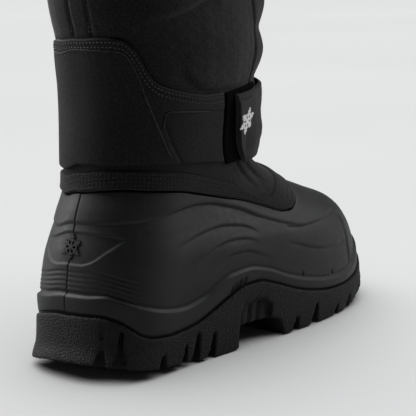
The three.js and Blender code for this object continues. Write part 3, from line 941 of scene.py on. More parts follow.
@dataclass(frozen=True)
class WovenFinish:
    """Woven cloth: crossing threads with uneven yarn, soft sheen and worn fibres."""

    name: str
    colour: Colour
    roughness: float
    thread: float
    relief: float
    sheen: float
    fleck: float = 1.8
    specular: float = 0.05
    yarn_size: float = 2.6
    wear_size: float = 24.0
    weave_share: float = 0.35
    shade: float = 0.6

    def mix(self) -> bpy.types.Material:
        """Builds the material.

        Returns:
            The material.
        """
        recipe = Recipe(self.name, self.colour, self.roughness)
        shader = recipe.shader
        shader.inputs["Sheen Weight"].default_value = self.sheen
        shader.inputs["Sheen Roughness"].default_value = 0.5
        shader.inputs["Specular IOR Level"].default_value = self.specular
        cloth = recipe.place(by_cloth=True)
        parts = recipe.add("SeparateXYZ", {"Vector": cloth})
        turns = math.tau / (2 * self.thread * MM)
        warp, weft = (recipe.combine("SINE", recipe.combine("MULTIPLY", parts.outputs[axis], turns), 0.0)
                      for axis in ("X", "Y"))
        weave = recipe.combine("MULTIPLY", warp, weft)
        yarn = recipe.noise(cloth, self.thread * self.yarn_size, 3.0)
        wear = recipe.noise(recipe.place(), self.wear_size, 4.0)
        height = recipe.combine("ADD", recipe.combine("MULTIPLY", weave, self.weave_share), yarn)
        share = recipe.combine("MULTIPLY", recipe.spread(yarn, 0.0, 1.0), recipe.spread(wear, 0.8, 1.0))
        recipe.tint(share, scaled(self.colour, self.shade), scaled(self.colour, self.fleck))
        recipe.feed("Roughness", recipe.spread(yarn, self.roughness + 0.05, self.roughness - 0.08))
        recipe.feed("Normal", recipe.bump(height, self.relief))
        return recipe.material


@dataclass(frozen=True)
class CoatedFinish:
    """Cloth under a thin rubbery coat with a fine leather-like grain."""

    name: str
    colour: Colour
    roughness: float
    grain: float
    relief: float
    specular: float = 0.1
    cloud_size: float = 30.0
    fine_share: float = 0.6
    speck_share: float = 1.6
    shade: float = 0.45
    fleck: float = 2.1

    def mix(self) -> bpy.types.Material:
        """Builds the material.

        Returns:
            The material.
        """
        recipe = Recipe(self.name, self.colour, self.roughness)
        recipe.shader.inputs["Specular IOR Level"].default_value = self.specular
        place = recipe.place()
        cells = recipe.add("TexVoronoi", {"Vector": place}, Scale=1 / (self.grain * MM))
        fine = recipe.noise(place, self.grain * self.fine_share, 3.0)
        cloud = recipe.spread(recipe.noise(place, self.cloud_size, 4.0), 0.7, 1.0)
        speck = recipe.spread(recipe.noise(place, self.grain * self.speck_share, 2.0), 0.0, 1.0, 0.36, 0.64)
        share = recipe.combine("MULTIPLY", cloud, speck)
        recipe.tint(share, scaled(self.colour, self.shade), scaled(self.colour, self.fleck))
        recipe.feed("Roughness", recipe.spread(fine, self.roughness - 0.05, self.roughness + 0.08))
        base = recipe.bump(cells.outputs["Distance"], self.relief)
        recipe.feed("Normal", recipe.bump(fine, self.relief * 0.5, base))
        return recipe.material


@dataclass(frozen=True)
class PileFinish:
    """Looped pile or felt: deep, matte and uneven."""

    name: str
    colour: Colour
    loop: float
    relief: float
    specular: float = 0.02
    shade: float = 0.5
    fleck: float = 1.6

    def mix(self) -> bpy.types.Material:
        """Builds the material.

        Returns:
            The material.
        """
        recipe = Recipe(self.name, self.colour, 1.0)
        recipe.shader.inputs["Specular IOR Level"].default_value = self.specular
        loops = recipe.noise(recipe.place(), self.loop, 4.0)
        share = recipe.spread(loops, 0.0, 1.0)
        recipe.tint(share, scaled(self.colour, self.shade), scaled(self.colour, self.fleck))
        recipe.feed("Normal", recipe.bump(loops, self.relief))
        return recipe.material


@dataclass(frozen=True)
class BindingFinish:
    """Ribbed binding tape folded over an edge: ribs run across the tape."""

    name: str
    colour: Colour
    rib: float
    relief: float
    roughness: float = 0.85
    sheen: float = 0.15
    shade: float = 0.7
    fleck: float = 1.5

    def mix(self) -> bpy.types.Material:
        """Builds the material.

        Returns:
            The material.
        """
        recipe = Recipe(self.name, self.colour, self.roughness)
        recipe.shader.inputs["Sheen Weight"].default_value = self.sheen
        cloth = recipe.place(by_cloth=True)
        along = recipe.add("SeparateXYZ", {"Vector": cloth}).outputs["X"]
        ribs = recipe.combine("SINE", recipe.combine("MULTIPLY", along, math.tau / (self.rib * MM)), 0.0)
        yarn = recipe.noise(cloth, self.rib, 3.0)
        share = recipe.spread(yarn, 0.0, 1.0)
        recipe.tint(share, scaled(self.colour, self.shade), scaled(self.colour, self.fleck))
        recipe.feed("Normal", recipe.bump(recipe.combine("ADD", ribs, yarn), self.relief))
        return recipe.material


SHELL_RUBBER = RubberFinish("shell_rubber", (0.0092, 0.0095, 0.0098), 0.52, 0.5, 0.012)
SOLE_RUBBER = RubberFinish("sole_rubber", (0.0056, 0.0057, 0.0059), 0.72, 0.6, 0.03, 1.8, 1.2, 0.38)
OXFORD_NYLON = WovenFinish("oxford_nylon", (0.0054, 0.0054, 0.0052), 0.82, 0.6, 0.16, 0.07, 2.4)
BAND_NYLON = WovenFinish("band_nylon", (0.0062, 0.0062, 0.006), 0.85, 0.6, 0.16, 0.06, 2.4)
STRAP_CLOTH = WovenFinish("strap_cloth", (0.015, 0.015, 0.0146), 0.8, 0.5, 0.1, 0.04)
LABEL_CLOTH = WovenFinish("label_cloth", (0.014, 0.014, 0.0136), 0.8, 0.35, 0.05, 0.06)
PANEL_COAT = CoatedFinish("panel_coat", (0.0045, 0.0046, 0.0047), 0.66, 0.8, 0.06)
# The welts' coat is lighter than the panel's coat: a painted highlight for the light caught along the raised
# pressed lines.
PAINTED_HIGHLIGHT_WELT_COAT = CoatedFinish("welt_coat_painted_highlight", (0.016, 0.016, 0.0163), 0.6, 0.8, 0.02)
LOOP_PILE = PileFinish("loop_pile", (0.002, 0.002, 0.002), 0.8, 0.5)
LINING_FELT = PileFinish("lining_felt", (0.03, 0.03, 0.031), 1.2, 0.3)
FOOTBED_FELT = PileFinish("footbed_felt", (0.08, 0.08, 0.083), 1.2, 0.3)
TAPE = BindingFinish("binding_tape", (0.007, 0.007, 0.007), 1.2, 0.12)
THREAD = RubberFinish("thread", (0.027, 0.027, 0.0265), 0.6, 0.3, 0.03)
BAND_THREAD = RubberFinish("band_thread", (0.017, 0.017, 0.0165), 0.6, 0.3, 0.03)
MARK = RubberFinish("crystal_mark", (0.62, 0.62, 0.61), 0.6, 0.4, 0.02, 1.1)


def seat(around: Array) -> tuple[Array, Array, Array]:
    """Gives the heights of the seat's floor, knee and lip round the form.

    Args:
        around: the ways round.

    Returns:
        The three heights at each of them.
    """
    spots = FORM.layer(around, np.full(around.shape, SEAT_PROBE), -TUCK, 1.0)
    floor = footbed_line(spots[..., 0]) + SEAT_PROBE - spots[..., 2]
    lip = parting_line(station_of(around))
    return floor, floor + TUCK_SHARE * (lip - floor), lip


def dress(piece: bpy.types.Object, slot: str, *finishes: bpy.types.Material) -> None:
    """Gives a piece its materials and its body.

    Args:
        piece: the piece.
        slot: not used.
        *finishes: its materials.
    """
    for finish in finishes:
        piece.data.materials.append(finish)
    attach(piece, BODY)


def report(piece: bpy.types.Object) -> None:
    """Logs a piece's name and size."""
    piece.data.calc_loop_triangles()
    LOG.info("%s: %d triangles", piece.name, len(piece.data.loop_triangles))


# ---- Outsole ----
@dataclass
class Outsole:
    """The lugged rubber sole, cut from a body with prisms and rounded off as moulded rubber is."""

    proud: float = 2.2
    inset: float = 9.0
    lip_round: float = 1.5
    columns: int = 420
    tread_rows: int = 4
    wall_rows: int = 26
    lip_rows: int = 3
    cap_rows: int = 10
    voxel: float = 1.15
    spring_start: float = 250.0
    spring_reach: float = 60.0
    spring_rise: float = 9.0
    spring_power: float = 1.5
    heel_flat: float = 80.0
    heel_reach: float = 87.0
    heel_rise: float = 12.5
    heel_power: float = 1.15
    breast: float = 116.5
    arch_end: float = 168.0
    arch_clearance: float = 16.5
    arch_corner: float = 3.0
    arch_slope: Row = (8.0, 14.0)
    wall_probe: float = 8.0
    overcut: float = 8.0
    below: float = 2.0
    reach_across: float = 90.0
    notch_depth: float = 5.5
    notch_tip: float = 0.12
    slot_depth: float = 4.8
    slot_inner_shift: float = 0.05
    groove_width: float = 6.0
    groove_depth: float = 7.0
    groove_reach: float = 50.0
    groove_overlap: float = 0.25
    channel_width: float = 5.0
    chevron: float = 9.0
    hollow_probe: float = 20.0
    hollow_ends: Row = (2.0, 18.0)
    hollow_top: float = 34.0
    hollow_arch: float = 7.0
    hollow_depth: float = 1.2
    hollow_round: float = 1.5
    hollow_drop: float = 4.0
    hollow_reach: float = 7.0
    hollow_columns: int = 81
    hollow_rows: int = 14
    hollow_level: float = 0.5
    soften_share: float = 0.5
    soften_rounds: int = 2
    sharp_angle: float = 60.0
    notches: tuple[Row, ...] = ((38, 11, 15), (60, 6, 18), (71, 9, 23), (88, 7.5, 20), (179, 9, 12),
                                (202, 10, 17), (233, 5.5, 12), (253, 6, 13), (280, 6, 17), (300, 7, 20))
    slots: tuple[Row, ...] = ((0.077, 7.5, 40), (0.107, 9.5, 36))
    slot_neck: float = 0.31
    slot_flare: Row = (15, 23)
    grooves: tuple[float, ...] = (38, 70, 179, 202, 233, 253)
    channels: tuple[Row, ...] = ((24, 104), (182, 272))
    ribs: tuple[Crease, ...] = (
        Crease(((0.402, 17, 1), (0.4, 26, 1), (0.408, 33, 1), (0.42, 36.5, 0.3)), 1.8, 1.7),
        Crease(((0.425, 17, 1), (0.423, 26, 1), (0.431, 33, 1), (0.443, 36.5, 0.3)), 1.8, 1.7),
        Crease(((0.448, 17, 1), (0.446, 26, 1), (0.454, 32, 1), (0.466, 35, 0.3)), 1.8, 1.7),
        Crease(((0.74, 10, 0), (0.79, 11, 1), (0.86, 13, 1), (0.94, 17, 0.5), (1.0, 18, 0.4)), -1.8, 6.0),
        Crease(((0.765, 4, 0), (0.79, 5, 1), (0.85, 7.5, 1), (0.93, 12.5, 0.6), (1.0, 15, 0.5)), 2.4, 1.3),
        Crease(((0.765, 10, 0), (0.79, 11, 1), (0.85, 13.5, 1), (0.93, 18.5, 0.6), (1.0, 21, 0.5)), 2.4, 1.3),
    )

    def tread(self, along: Array) -> Array:
        """Gives the tread's height above the floor along the boot.

        Args:
            along: places along the boot.

        Returns:
            Heights there.
        """
        toe = (np.asarray(along) - self.spring_start).clip(0) / self.spring_reach
        heel = (self.heel_flat - np.asarray(along)).clip(0) / self.heel_reach
        return self.spring_rise * toe ** self.spring_power + self.heel_rise * heel ** self.heel_power

    def ribbed(self, around: Array, height: Array) -> Array:
        """Gives the relief of the ribs at places on the side wall."""
        return total_relief(self.ribs, around, height)

    def body(self) -> bmesh.types.BMesh:
        """Stacks the body's rings, from the tread's middle line round to the seat floor's.

        Returns:
            A closed bmesh in the frame.
        """
        around = ring_around(self.columns)
        edge = edge_line(station_of(around))
        floor, knee, lip = seat(around)
        rings = [FORM.layer(around, edge, -self.inset, 1.0)]
        rings[0][:, 2] = self.tread(rings[0][:, 0])
        side = [FORM.layer(around, height, self.proud + self.ribbed(around, height), 1.0)
                for height in ramp(edge, lip - self.lip_round, self.wall_rows, first=True)]
        rings += ramp(rings[0], side[0], self.tread_rows)[:-1] + side
        turn = np.linspace(0, math.pi / 2, self.lip_rows + 1)[1:]
        rings += [FORM.layer(around, lip - self.lip_round * (1 - math.sin(angle)),
                             self.proud - self.lip_round * (1 - math.cos(angle)), 1.0) for angle in turn]
        rings += [FORM.layer(around, height, offset, 1.0) for height, offset in (
            (lip, FIT_GAP), (lip - FIT_GAP, FIT_GAP), ((lip + knee) / 2, FIT_GAP - TUCK / 2),
            (knee, FIT_GAP - TUCK), ((knee + floor) / 2, FIT_GAP - TUCK), (floor, FIT_GAP - TUCK))]
        under = self.cap(rings[0], self.tread)
        over = self.cap(rings[-1], footbed_line)
        return grid_shape(np.array(under[::-1][:-1] + rings + over[1:]))

    def cap(self, ring: Array, surface: Line) -> list[Array]:
        """Fills a ring with rows that close on its middle line.

        Args:
            ring: the ring.
            surface: the fill's height along the boot.

        Returns:
            Rows from the ring inwards.
        """
        middle = (ring + ring[::-1]) / 2
        rows = [ring]
        for row in ramp(ring, middle, self.cap_rows):
            row[:, 2] = surface(row[:, 0])
            rows.append(row)
        return rows

    def prism(self, outline: Sequence[Row], depth: float, place: Matrix) -> bpy.types.Object:
        """Extrudes an outline into a cutter.

        Args:
            outline: corners in the prism's own X and Y.
            depth: how far it is extruded along its own Z.
            place: where it goes on the drawing.

        Returns:
            The cutter.
        """
        shape = bmesh.new()
        corners = [shape.verts.new((x, y, 0)) for x, y in outline]
        face = shape.faces.new(corners)
        grown = bmesh.ops.extrude_face_region(shape, geom=[face])
        moved = [item for item in grown["geom"] if isinstance(item, bmesh.types.BMVert)]
        bmesh.ops.translate(shape, verts=moved, vec=(0, 0, depth))
        bmesh.ops.transform(shape, matrix=place, verts=shape.verts[:])
        bmesh.ops.translate(shape, verts=shape.verts[:], vec=SHIFT)
        bmesh.ops.scale(shape, vec=(MM, MM, MM), verts=shape.verts[:])
        bmesh.ops.recalc_face_normals(shape, faces=shape.faces[:])
        return to_object("cutter", shape)

    def wall_place(self, around: float, depth: float, top: float) -> Matrix:
        """Gives the place of a prism that leans with the side wall.

        Args:
            around: the way round.
            depth: how far the prism reaches into the wall.
            top: the prism's height.

        Returns:
            The prism's place on the drawing.
        """
        outward = Vector(FORM.normal(around, self.wall_probe))
        outward.z = 0
        outward.normalize()
        forward = Vector((0, 0, 1)).cross(outward)
        foot = Vector(FORM.point(around, self.wall_probe))
        root = foot + outward * (self.proud - depth)
        root.z = 0
        up = (Vector(FORM.point(around, top)) - foot) / (top - self.wall_probe)
        turn = Matrix((forward, up, outward)).transposed().to_4x4()
        return Matrix.Translation(root) @ turn

    def around_at(self, along: float, height: float, side: Side) -> float:
        """Finds the way round at a place along the boot, from a table of places.

        Args:
            along: the place.
            height: the height.
            side: the side.

        Returns:
            The way round.
        """
        ways = np.linspace(0, 1, 801)
        station = float(np.interp(along, FORM.point(ways, height)[:, 0], ways))
        return station if side is Side.OUTER else 2 - station

    def cutters(self) -> list[bpy.types.Object]:
        """Makes the notches, slots, grooves, arch and side hollows.

        Returns:
            The cutters.
        """
        result = []
        low = -self.below
        for side in Side:
            for along, width, height in self.notches:
                tip = width * self.notch_tip
                outline = ((-width / 2, low), (width / 2, low), (tip, height), (-tip, height))
                around = self.around_at(along, self.wall_probe, side)
                place = self.wall_place(around, self.notch_depth, height)
                result.append(self.prism(outline, self.notch_depth + self.overcut, place))
            for station, width, height in self.slots:
                neck = width / 2 * self.slot_neck
                flare, narrow = self.slot_flare
                half = ((width / 2, low), (width / 2, flare), (neck, narrow), (neck, height))
                outline = half + tuple((-across, up) for across, up in reversed(half))
                around = station if side is Side.OUTER else 2 - station - self.slot_inner_shift
                place = self.wall_place(around, self.slot_depth, height)
                result.append(self.prism(outline, self.slot_depth + self.overcut, place))
            for along in self.grooves:
                start = Vector((along, side.value * self.groove_reach))
                end = Vector((along + self.chevron, -side.value * self.groove_width * self.groove_overlap))
                result.append(self.bar(start, end, self.groove_width))
            result.append(self.hollow(side))
        for start, end in self.channels:
            result.append(self.bar(Vector((start, 0)), Vector((end, 0)), self.channel_width))
        result.append(self.arch())
        return result

    def arch(self) -> bpy.types.Object:
        """Makes the cutter for the arch between the heel's breast and the forefoot.

        Returns:
            The cutter.
        """
        start, end = self.breast, self.arch_end
        top, corner = self.arch_clearance, self.arch_clearance - self.arch_corner
        steep, gentle = self.arch_slope
        outline = ((start, -self.below), (end, -self.below), (end - steep, corner), (end - gentle, top),
                   (start + self.arch_corner, top), (start, corner))
        upright = Matrix.Translation((0, self.reach_across, 0)) @ Matrix.Rotation(math.pi / 2, 4, "X")
        return self.prism(outline, 2 * self.reach_across, upright)

    def bar(self, start: Vector, end: Vector, width: float) -> bpy.types.Object:
        """Makes a cutter for a straight tread groove.

        Args:
            start: where its middle line starts.
            end: where it ends.
            width: its width.

        Returns:
            The cutter.
        """
        run = end - start
        outline = ((0, -width / 2), (run.length, -width / 2), (run.length, width / 2), (0, width / 2))
        turn = Matrix.Rotation(math.atan2(run.y, run.x), 4, "Z")
        place = Matrix.Translation((start.x, start.y, -self.below)) @ turn
        top = self.groove_depth + float(self.tread((start.x + end.x) / 2))
        return self.prism(outline, top + self.below, place)

    def hollow(self, side: Side) -> bpy.types.Object:
        """Makes the cutter for the hollow in the side wall above the arch.

        Args:
            side: the boot's side.

        Returns:
            The cutter.
        """
        after_breast, before_end = self.hollow_ends
        start = self.around_at(self.breast + after_breast, self.hollow_probe, side)
        end = self.around_at(self.arch_end - before_end, self.hollow_probe, side)
        share = np.linspace(0, 1, self.hollow_columns)
        around = start + (end - start) * share
        top = self.hollow_top - self.hollow_arch * (2 * share - 1) ** 2
        low = np.full(share.shape, self.arch_clearance - self.hollow_drop)
        inner = np.full(share.shape, -self.hollow_depth)
        outer = np.full(share.shape, self.hollow_reach)
        wall = [(height, inner + self.ribbed(around, height))
                for height in ramp(low, top - self.hollow_round, self.hollow_rows)]
        lip = np.full(share.shape, GAP)
        corners = [(low, inner), *wall, (top, lip), (top, outer), (low, outer), (low, inner)]
        level = self.hollow_level
        points = np.array([FORM.layer(around, height, offset, level) for height, offset in corners])
        shape = grid_shape(points)
        bmesh.ops.holes_fill(shape, edges=shape.edges[:], sides=0)
        bmesh.ops.recalc_face_normals(shape, faces=shape.faces[:])
        return to_object("cutter", shape)

    def build(self) -> bpy.types.Object:
        """Cuts the body, rounds it off and dresses it.

        Returns:
            The piece.
        """
        piece = to_object("lugged_outsole", self.body())
        tools = bpy.data.collections.new("cutters")
        for cutter in self.cutters():
            bpy.context.scene.collection.objects.unlink(cutter)
            tools.objects.link(cutter)
        bpy.context.scene.collection.children.link(tools)
        cut = piece.modifiers.new("cut", "BOOLEAN")
        cut.operand_type = "COLLECTION"
        cut.collection = tools
        cut.solver = "MANIFOLD"
        remesh = piece.modifiers.new("mould", "REMESH")
        remesh.mode = "VOXEL"
        remesh.voxel_size = self.voxel * MM
        remesh.use_smooth_shade = True
        soften = piece.modifiers.new("soften", "SMOOTH")
        soften.factor = self.soften_share
        soften.iterations = self.soften_rounds
        bake_modifiers(piece)
        for cutter in list(tools.objects):
            bpy.data.meshes.remove(cutter.data)
        bpy.data.collections.remove(tools)
        piece.data.set_sharp_from_angle(angle=math.radians(self.sharp_angle))
        piece.data.materials.clear()
        dress(piece, "rubber_sole", SOLE_RUBBER.mix())
        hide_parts("outsole")
        return piece


def bake_modifiers(piece: bpy.types.Object) -> None:
    """Replaces a piece's mesh by what its modifiers make of it, and drops them.

    Args:
        piece: the piece.
    """
    evaluated = piece.evaluated_get(bpy.context.evaluated_depsgraph_get())
    mesh = bpy.data.meshes.new_from_object(evaluated)
    piece.modifiers.clear()
    old = piece.data
    piece.data = mesh
    mesh.name = piece.name
    bpy.data.meshes.remove(old)


# ---- Shell ----
@dataclass
class Shell:
    """The moulded rubber shell with its foxing band, waves, heel ribs and emblem panel."""

    wall: float = 3.0
    proud: float = 1.8
    columns: int = 610
    band_rows: int = 16
    rise_rows: int = 108
    lining_rows: int = 12
    band_lip: float = 0.12
    band_fade: float = 0.65
    band_tuck: float = 1.3
    edge_round: float = 0.7
    lip_place: float = 1.6
    lip_width: float = 1.3
    top_groove: float = 0.5
    groove_place: float = 1.0
    groove_width: float = 1.1
    outside_limit: float = -0.3
    outer_round: tuple[Row, ...] = ((0.35, 0.35), (0.0, 1.1))
    inner_round: float = 0.8
    emblem_rim: float = 0.13
    rim_place: float = 0.8
    emblem_depth: float = 0.7
    floor_start: float = 0.3
    floor_slope: float = 1.5
    emblem_top: Line = field(default_factory=lambda: Line(
        ((0, 97.5), (0.033, 98), (0.094, 97.2), (0.118, 96.3), (0.137, 95))))
    emblem_bottom: Line = field(default_factory=lambda: Line(
        ((0, 76.5), (0.03, 77), (0.05, 79), (0.061, 81), (0.083, 86), (0.111, 91), (0.137, 95.4))))
    emblem_end: float = 0.14
    emblem_fade: float = 0.008
    rib_top: Line = field(default_factory=lambda: Line(
        ((0, 72), (0.072, 73), (0.117, 69), (0.172, 62), (0.205, 54))))
    rib_count: int = 5
    rib_end: float = 0.2
    rib_fade: float = 0.08
    rib_last: float = 0.4
    rib_depth: float = 0.42
    rib_width: float = 0.7
    rib_bulge: float = 0.15
    rib_recover: float = 1.8
    waves: tuple[Crease, ...] = (
        Crease(((0, 102.5, 0.4), (0.07, 103.5, 0.4), (0.14, 104.5, 0.35), (0.22, 105.5, 0.45),
                (0.3, 108, 0.9), (0.37, 109, 1), (0.44, 107.3, 1), (0.48, 104, 1), (0.517, 99, 0.9),
                (0.55, 89.5, 0.6), (0.6, 81, 0.3), (0.64, 79, 0)), 1.3, 1.2, 1.0, 5.0),
        Crease(((0.25, 84, 0), (0.306, 88.2, 0.9), (0.361, 90.4, 1), (0.406, 91.2, 1), (0.439, 90, 0.9),
                (0.472, 87, 0.6), (0.494, 81, 0)), 1.2, 1.0, 0.8, 4.0),
        Crease(((0.287, 68, 0), (0.328, 75, 0.9), (0.367, 78.6, 1), (0.406, 80, 1), (0.444, 79, 0.8),
                (0.478, 75, 0)), 1.1, 1.0, 0.7, 4.0),
        Crease(((0.339, 63, 0), (0.367, 67, 0.7), (0.394, 70, 1), (0.428, 70, 0.9), (0.467, 66, 0.5),
                (0.5, 60, 0)), 1.0, 1.0, 0.7, 4.0),
        Crease(((0.58, 80, 0), (0.606, 78.5, 0.8), (0.639, 77, 1), (0.694, 77, 1), (0.739, 78, 1),
                (0.783, 79.5, 0.8), (0.8, 80, 0.2)), 1.1, 1.1, 0.8, 4.0),
        Crease(((0.794, 79, 0.6), (0.794, 70, 1), (0.783, 62, 1), (0.778, 54, 1), (0.772, 44, 1),
                (0.767, 35, 0.6)), 0.9, 1.0),
        Crease(((0.806, 78, 0.6), (0.806, 70, 1), (0.796, 62, 1), (0.79, 54, 1), (0.784, 44, 1),
                (0.779, 36, 0.6)), -0.7, 2.2),
        Crease(((0.56, 67, 0), (0.578, 66, 0.6), (0.622, 60, 1), (0.667, 56, 1), (0.706, 55, 1),
                (0.755, 55, 0.6)), 0.9, 1.1, 0.5, 3.5),
        Crease(((0, 121.5, 1), (0, 90, 1), (0, 60, 1), (0, 34, 1)), 0.6, 0.6),
    )
    nicks: tuple[float, ...] = (0.377, 0.388, 0.4, 0.413)
    nick_rise: float = 5.5
    nick_lean: float = 0.002
    nick_depth: float = 2.6
    nick_width: float = 0.85
    pips: tuple[Row, ...] = ((0.583, 42.0), (0.683, 35.5))
    pip_half: float = 1.5
    pip_depth: float = 1.2
    pip_width: float = 0.8

    def heel_ribs(self) -> list[Crease]:
        """Fans the fine ribs out between the topmost one and the foxing line.

        Returns:
            The ribs.
        """
        stations = np.linspace(0, self.rib_end, 9)
        strength = 1 - ease((stations - (self.rib_end - self.rib_fade)) / self.rib_fade)
        ribs = []
        for i in range(self.rib_count):
            share = 1 - i / (self.rib_count - self.rib_last)
            height = foxing_line(stations) + (self.rib_top(stations) - foxing_line(stations)) * share
            path = tuple(zip(stations, height, strength))
            ribs.append(Crease(path, self.rib_depth, self.rib_width, self.rib_bulge, self.rib_recover))
        return ribs

    def small_cuts(self) -> list[Crease]:
        """Makes the nicks in the band's lower edge and the two pips on the band.

        Returns:
            The cuts.
        """
        cuts = []
        for way in self.nicks:
            low = parting_line(way)
            path = ((way, low + 1, 1), (way + self.nick_lean, low + self.nick_rise, 0.8))
            cuts.append(Crease(path, self.nick_depth, self.nick_width))
        for way, up in self.pips:
            path = ((way, up - self.pip_half, 1), (way, up + self.pip_half, 1))
            cuts.append(Crease(path, self.pip_depth, self.pip_width))
        return cuts

    def emblem(self, around: Array, height: Array) -> Array:
        """Works out the relief of the sunk panel at the back and of its raised rim.

        Args:
            around: the ways round.
            height: the heights.

        Returns:
            Distances outwards.
        """
        station = station_of(around)
        inside = np.minimum(self.emblem_top(station) - height, height - self.emblem_bottom(station))
        window = ease((self.emblem_end - station) / self.emblem_fade)
        rim = self.emblem_rim * np.exp(-((inside + self.rim_place) ** 2))
        return window * (rim - self.emblem_depth * ease((inside + self.floor_start) / self.floor_slope))

    def band(self, below: Array, depth: Array) -> Array:
        """Gives the foxing band's offset at a distance below its top edge.

        Args:
            below: the distances.
            depth: the band's depth at the same ways round.

        Returns:
            Distances off the form.
        """
        lip = self.band_lip * np.exp(-(((below - self.lip_place) / self.lip_width) ** 2))
        tuck = self.band_tuck * np.exp(-((depth - below) / self.edge_round))
        rise = self.proud * (1 - np.exp(-below / self.edge_round)) + lip
        return rise * (1 - self.band_fade * (below / depth) ** 2) - tuck

    def build(self) -> bpy.types.Object:
        """Lays the shell's outside and inside in one closed grid and dresses it.

        Returns:
            The piece.
        """
        around = ring_around(self.columns)
        station = station_of(around)
        floor, knee, lip = seat(around)
        foxing, top = foxing_line(station), shell_top_line(station)
        heights, offsets, levels = [], [], []

        def add(rows: Sequence[Array], offset: Array | float | Sequence[Array], level: float) -> None:
            """Adds rows at an offset each, or at the same one.

            Args:
                rows: the heights.
                offset: how far off the form they lie.
                level: 0 to follow the surface, 1 to keep the height.
            """
            each = offset if isinstance(offset, list) else [offset] * len(rows)
            for row, value in zip(rows, each):
                heights.append(row)
                offsets.append(np.broadcast_to(value, around.shape))
                levels.append(level)

        add([floor + GAP, (floor + knee) / 2, knee], -TUCK, 1)
        add([lip - FIT_GAP - 0.2, lip + GAP], [-0.4, -0.2], 1)
        depth = foxing - lip - FIT_GAP
        band = ramp(lip + FIT_GAP, foxing, self.band_rows, first=True)
        add(band, [self.band(foxing - row, depth) for row in band], 1)
        add(ramp(foxing, top - 1, self.rise_rows), 0.0, 0)
        bevel = self.inner_round
        for drop, inward in (*self.outer_round, (0.0, self.wall - bevel), (bevel, self.wall)):
            add([top - drop], -inward, 0)
        add(ramp(top - bevel, foxing, self.lining_rows), -self.wall, 0)
        add(ramp(foxing, lip + GAP, 3), -self.wall, 1)
        add([knee, (floor + knee) / 2, floor + GAP], -TUCK - self.wall, 1)
        turned = np.broadcast_to(around, (len(heights), len(around)))
        height, offset = np.array(heights), np.array(offsets)
        level = np.array(levels)[:, None] * np.ones(turned.shape)
        shown = (offset > self.outside_limit) & (height > lip + FIT_GAP)
        relief = total_relief([*self.waves, *self.heel_ribs(), *self.small_cuts()], turned, height)
        relief += self.emblem(turned, height)
        above = height - foxing - self.groove_place
        groove = -self.top_groove * np.exp(-((above / self.groove_width) ** 2))
        offset = offset + np.where(shown, relief + groove, 0)
        points = FORM.layer(turned, height, offset, level)
        closed = np.concatenate([points, points[:1]], axis=0)
        piece = to_object("moulded_shell", grid_shape(closed), LAID_SHARP)
        dress(piece, "rubber_shell", SHELL_RUBBER.mix())
        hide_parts("shell")
        return piece


# ---- Insole ----
@dataclass
class Insole:
    """The removable felt footbed, slightly dished and with rounded edges."""

    thickness: float = 5.0
    clearance: float = 3.0
    dish: float = 0.9
    under_rows: int = 6
    over_rows: int = 8
    columns: int = 240
    under_round: tuple[Row, ...] = ((0.0, 0.6), (0.6, 0.0))
    over_round: tuple[Row, ...] = ((1.2, 0.0), (0.4, 0.5), (0.0, 1.6))

    def build(self) -> bpy.types.Object:
        """Closes rings from the underside's middle line to the top's.

        Returns:
            The piece.
        """
        around = ring_around(self.columns)
        floor, _, _ = seat(around)
        inset = -TUCK - self.clearance - 2 * FIT_GAP
        section = [(GAP + rise, inward) for rise, inward in self.under_round]
        section += [(self.thickness - drop, inward) for drop, inward in self.over_round]
        rings = [FORM.layer(around, floor + rise, inset - inward, 1.0) for rise, inward in section]
        under, over = rings[0], rings[-1]
        rows = ramp((under + under[::-1]) / 2, under, self.under_rows, first=True)[:-1] + rings
        for i, row in enumerate(ramp(over, (over + over[::-1]) / 2, self.over_rows)):
            row[:, 2] -= self.dish * math.sin(math.pi / 2 * (i + 1) / self.over_rows)
            rows.append(row)
        piece = to_object("felt_footbed", grid_shape(np.array(rows)), sharp_angle=80.0)
        dress(piece, "footbed_felt", FOOTBED_FELT.mix())
        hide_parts("insole")
        return piece


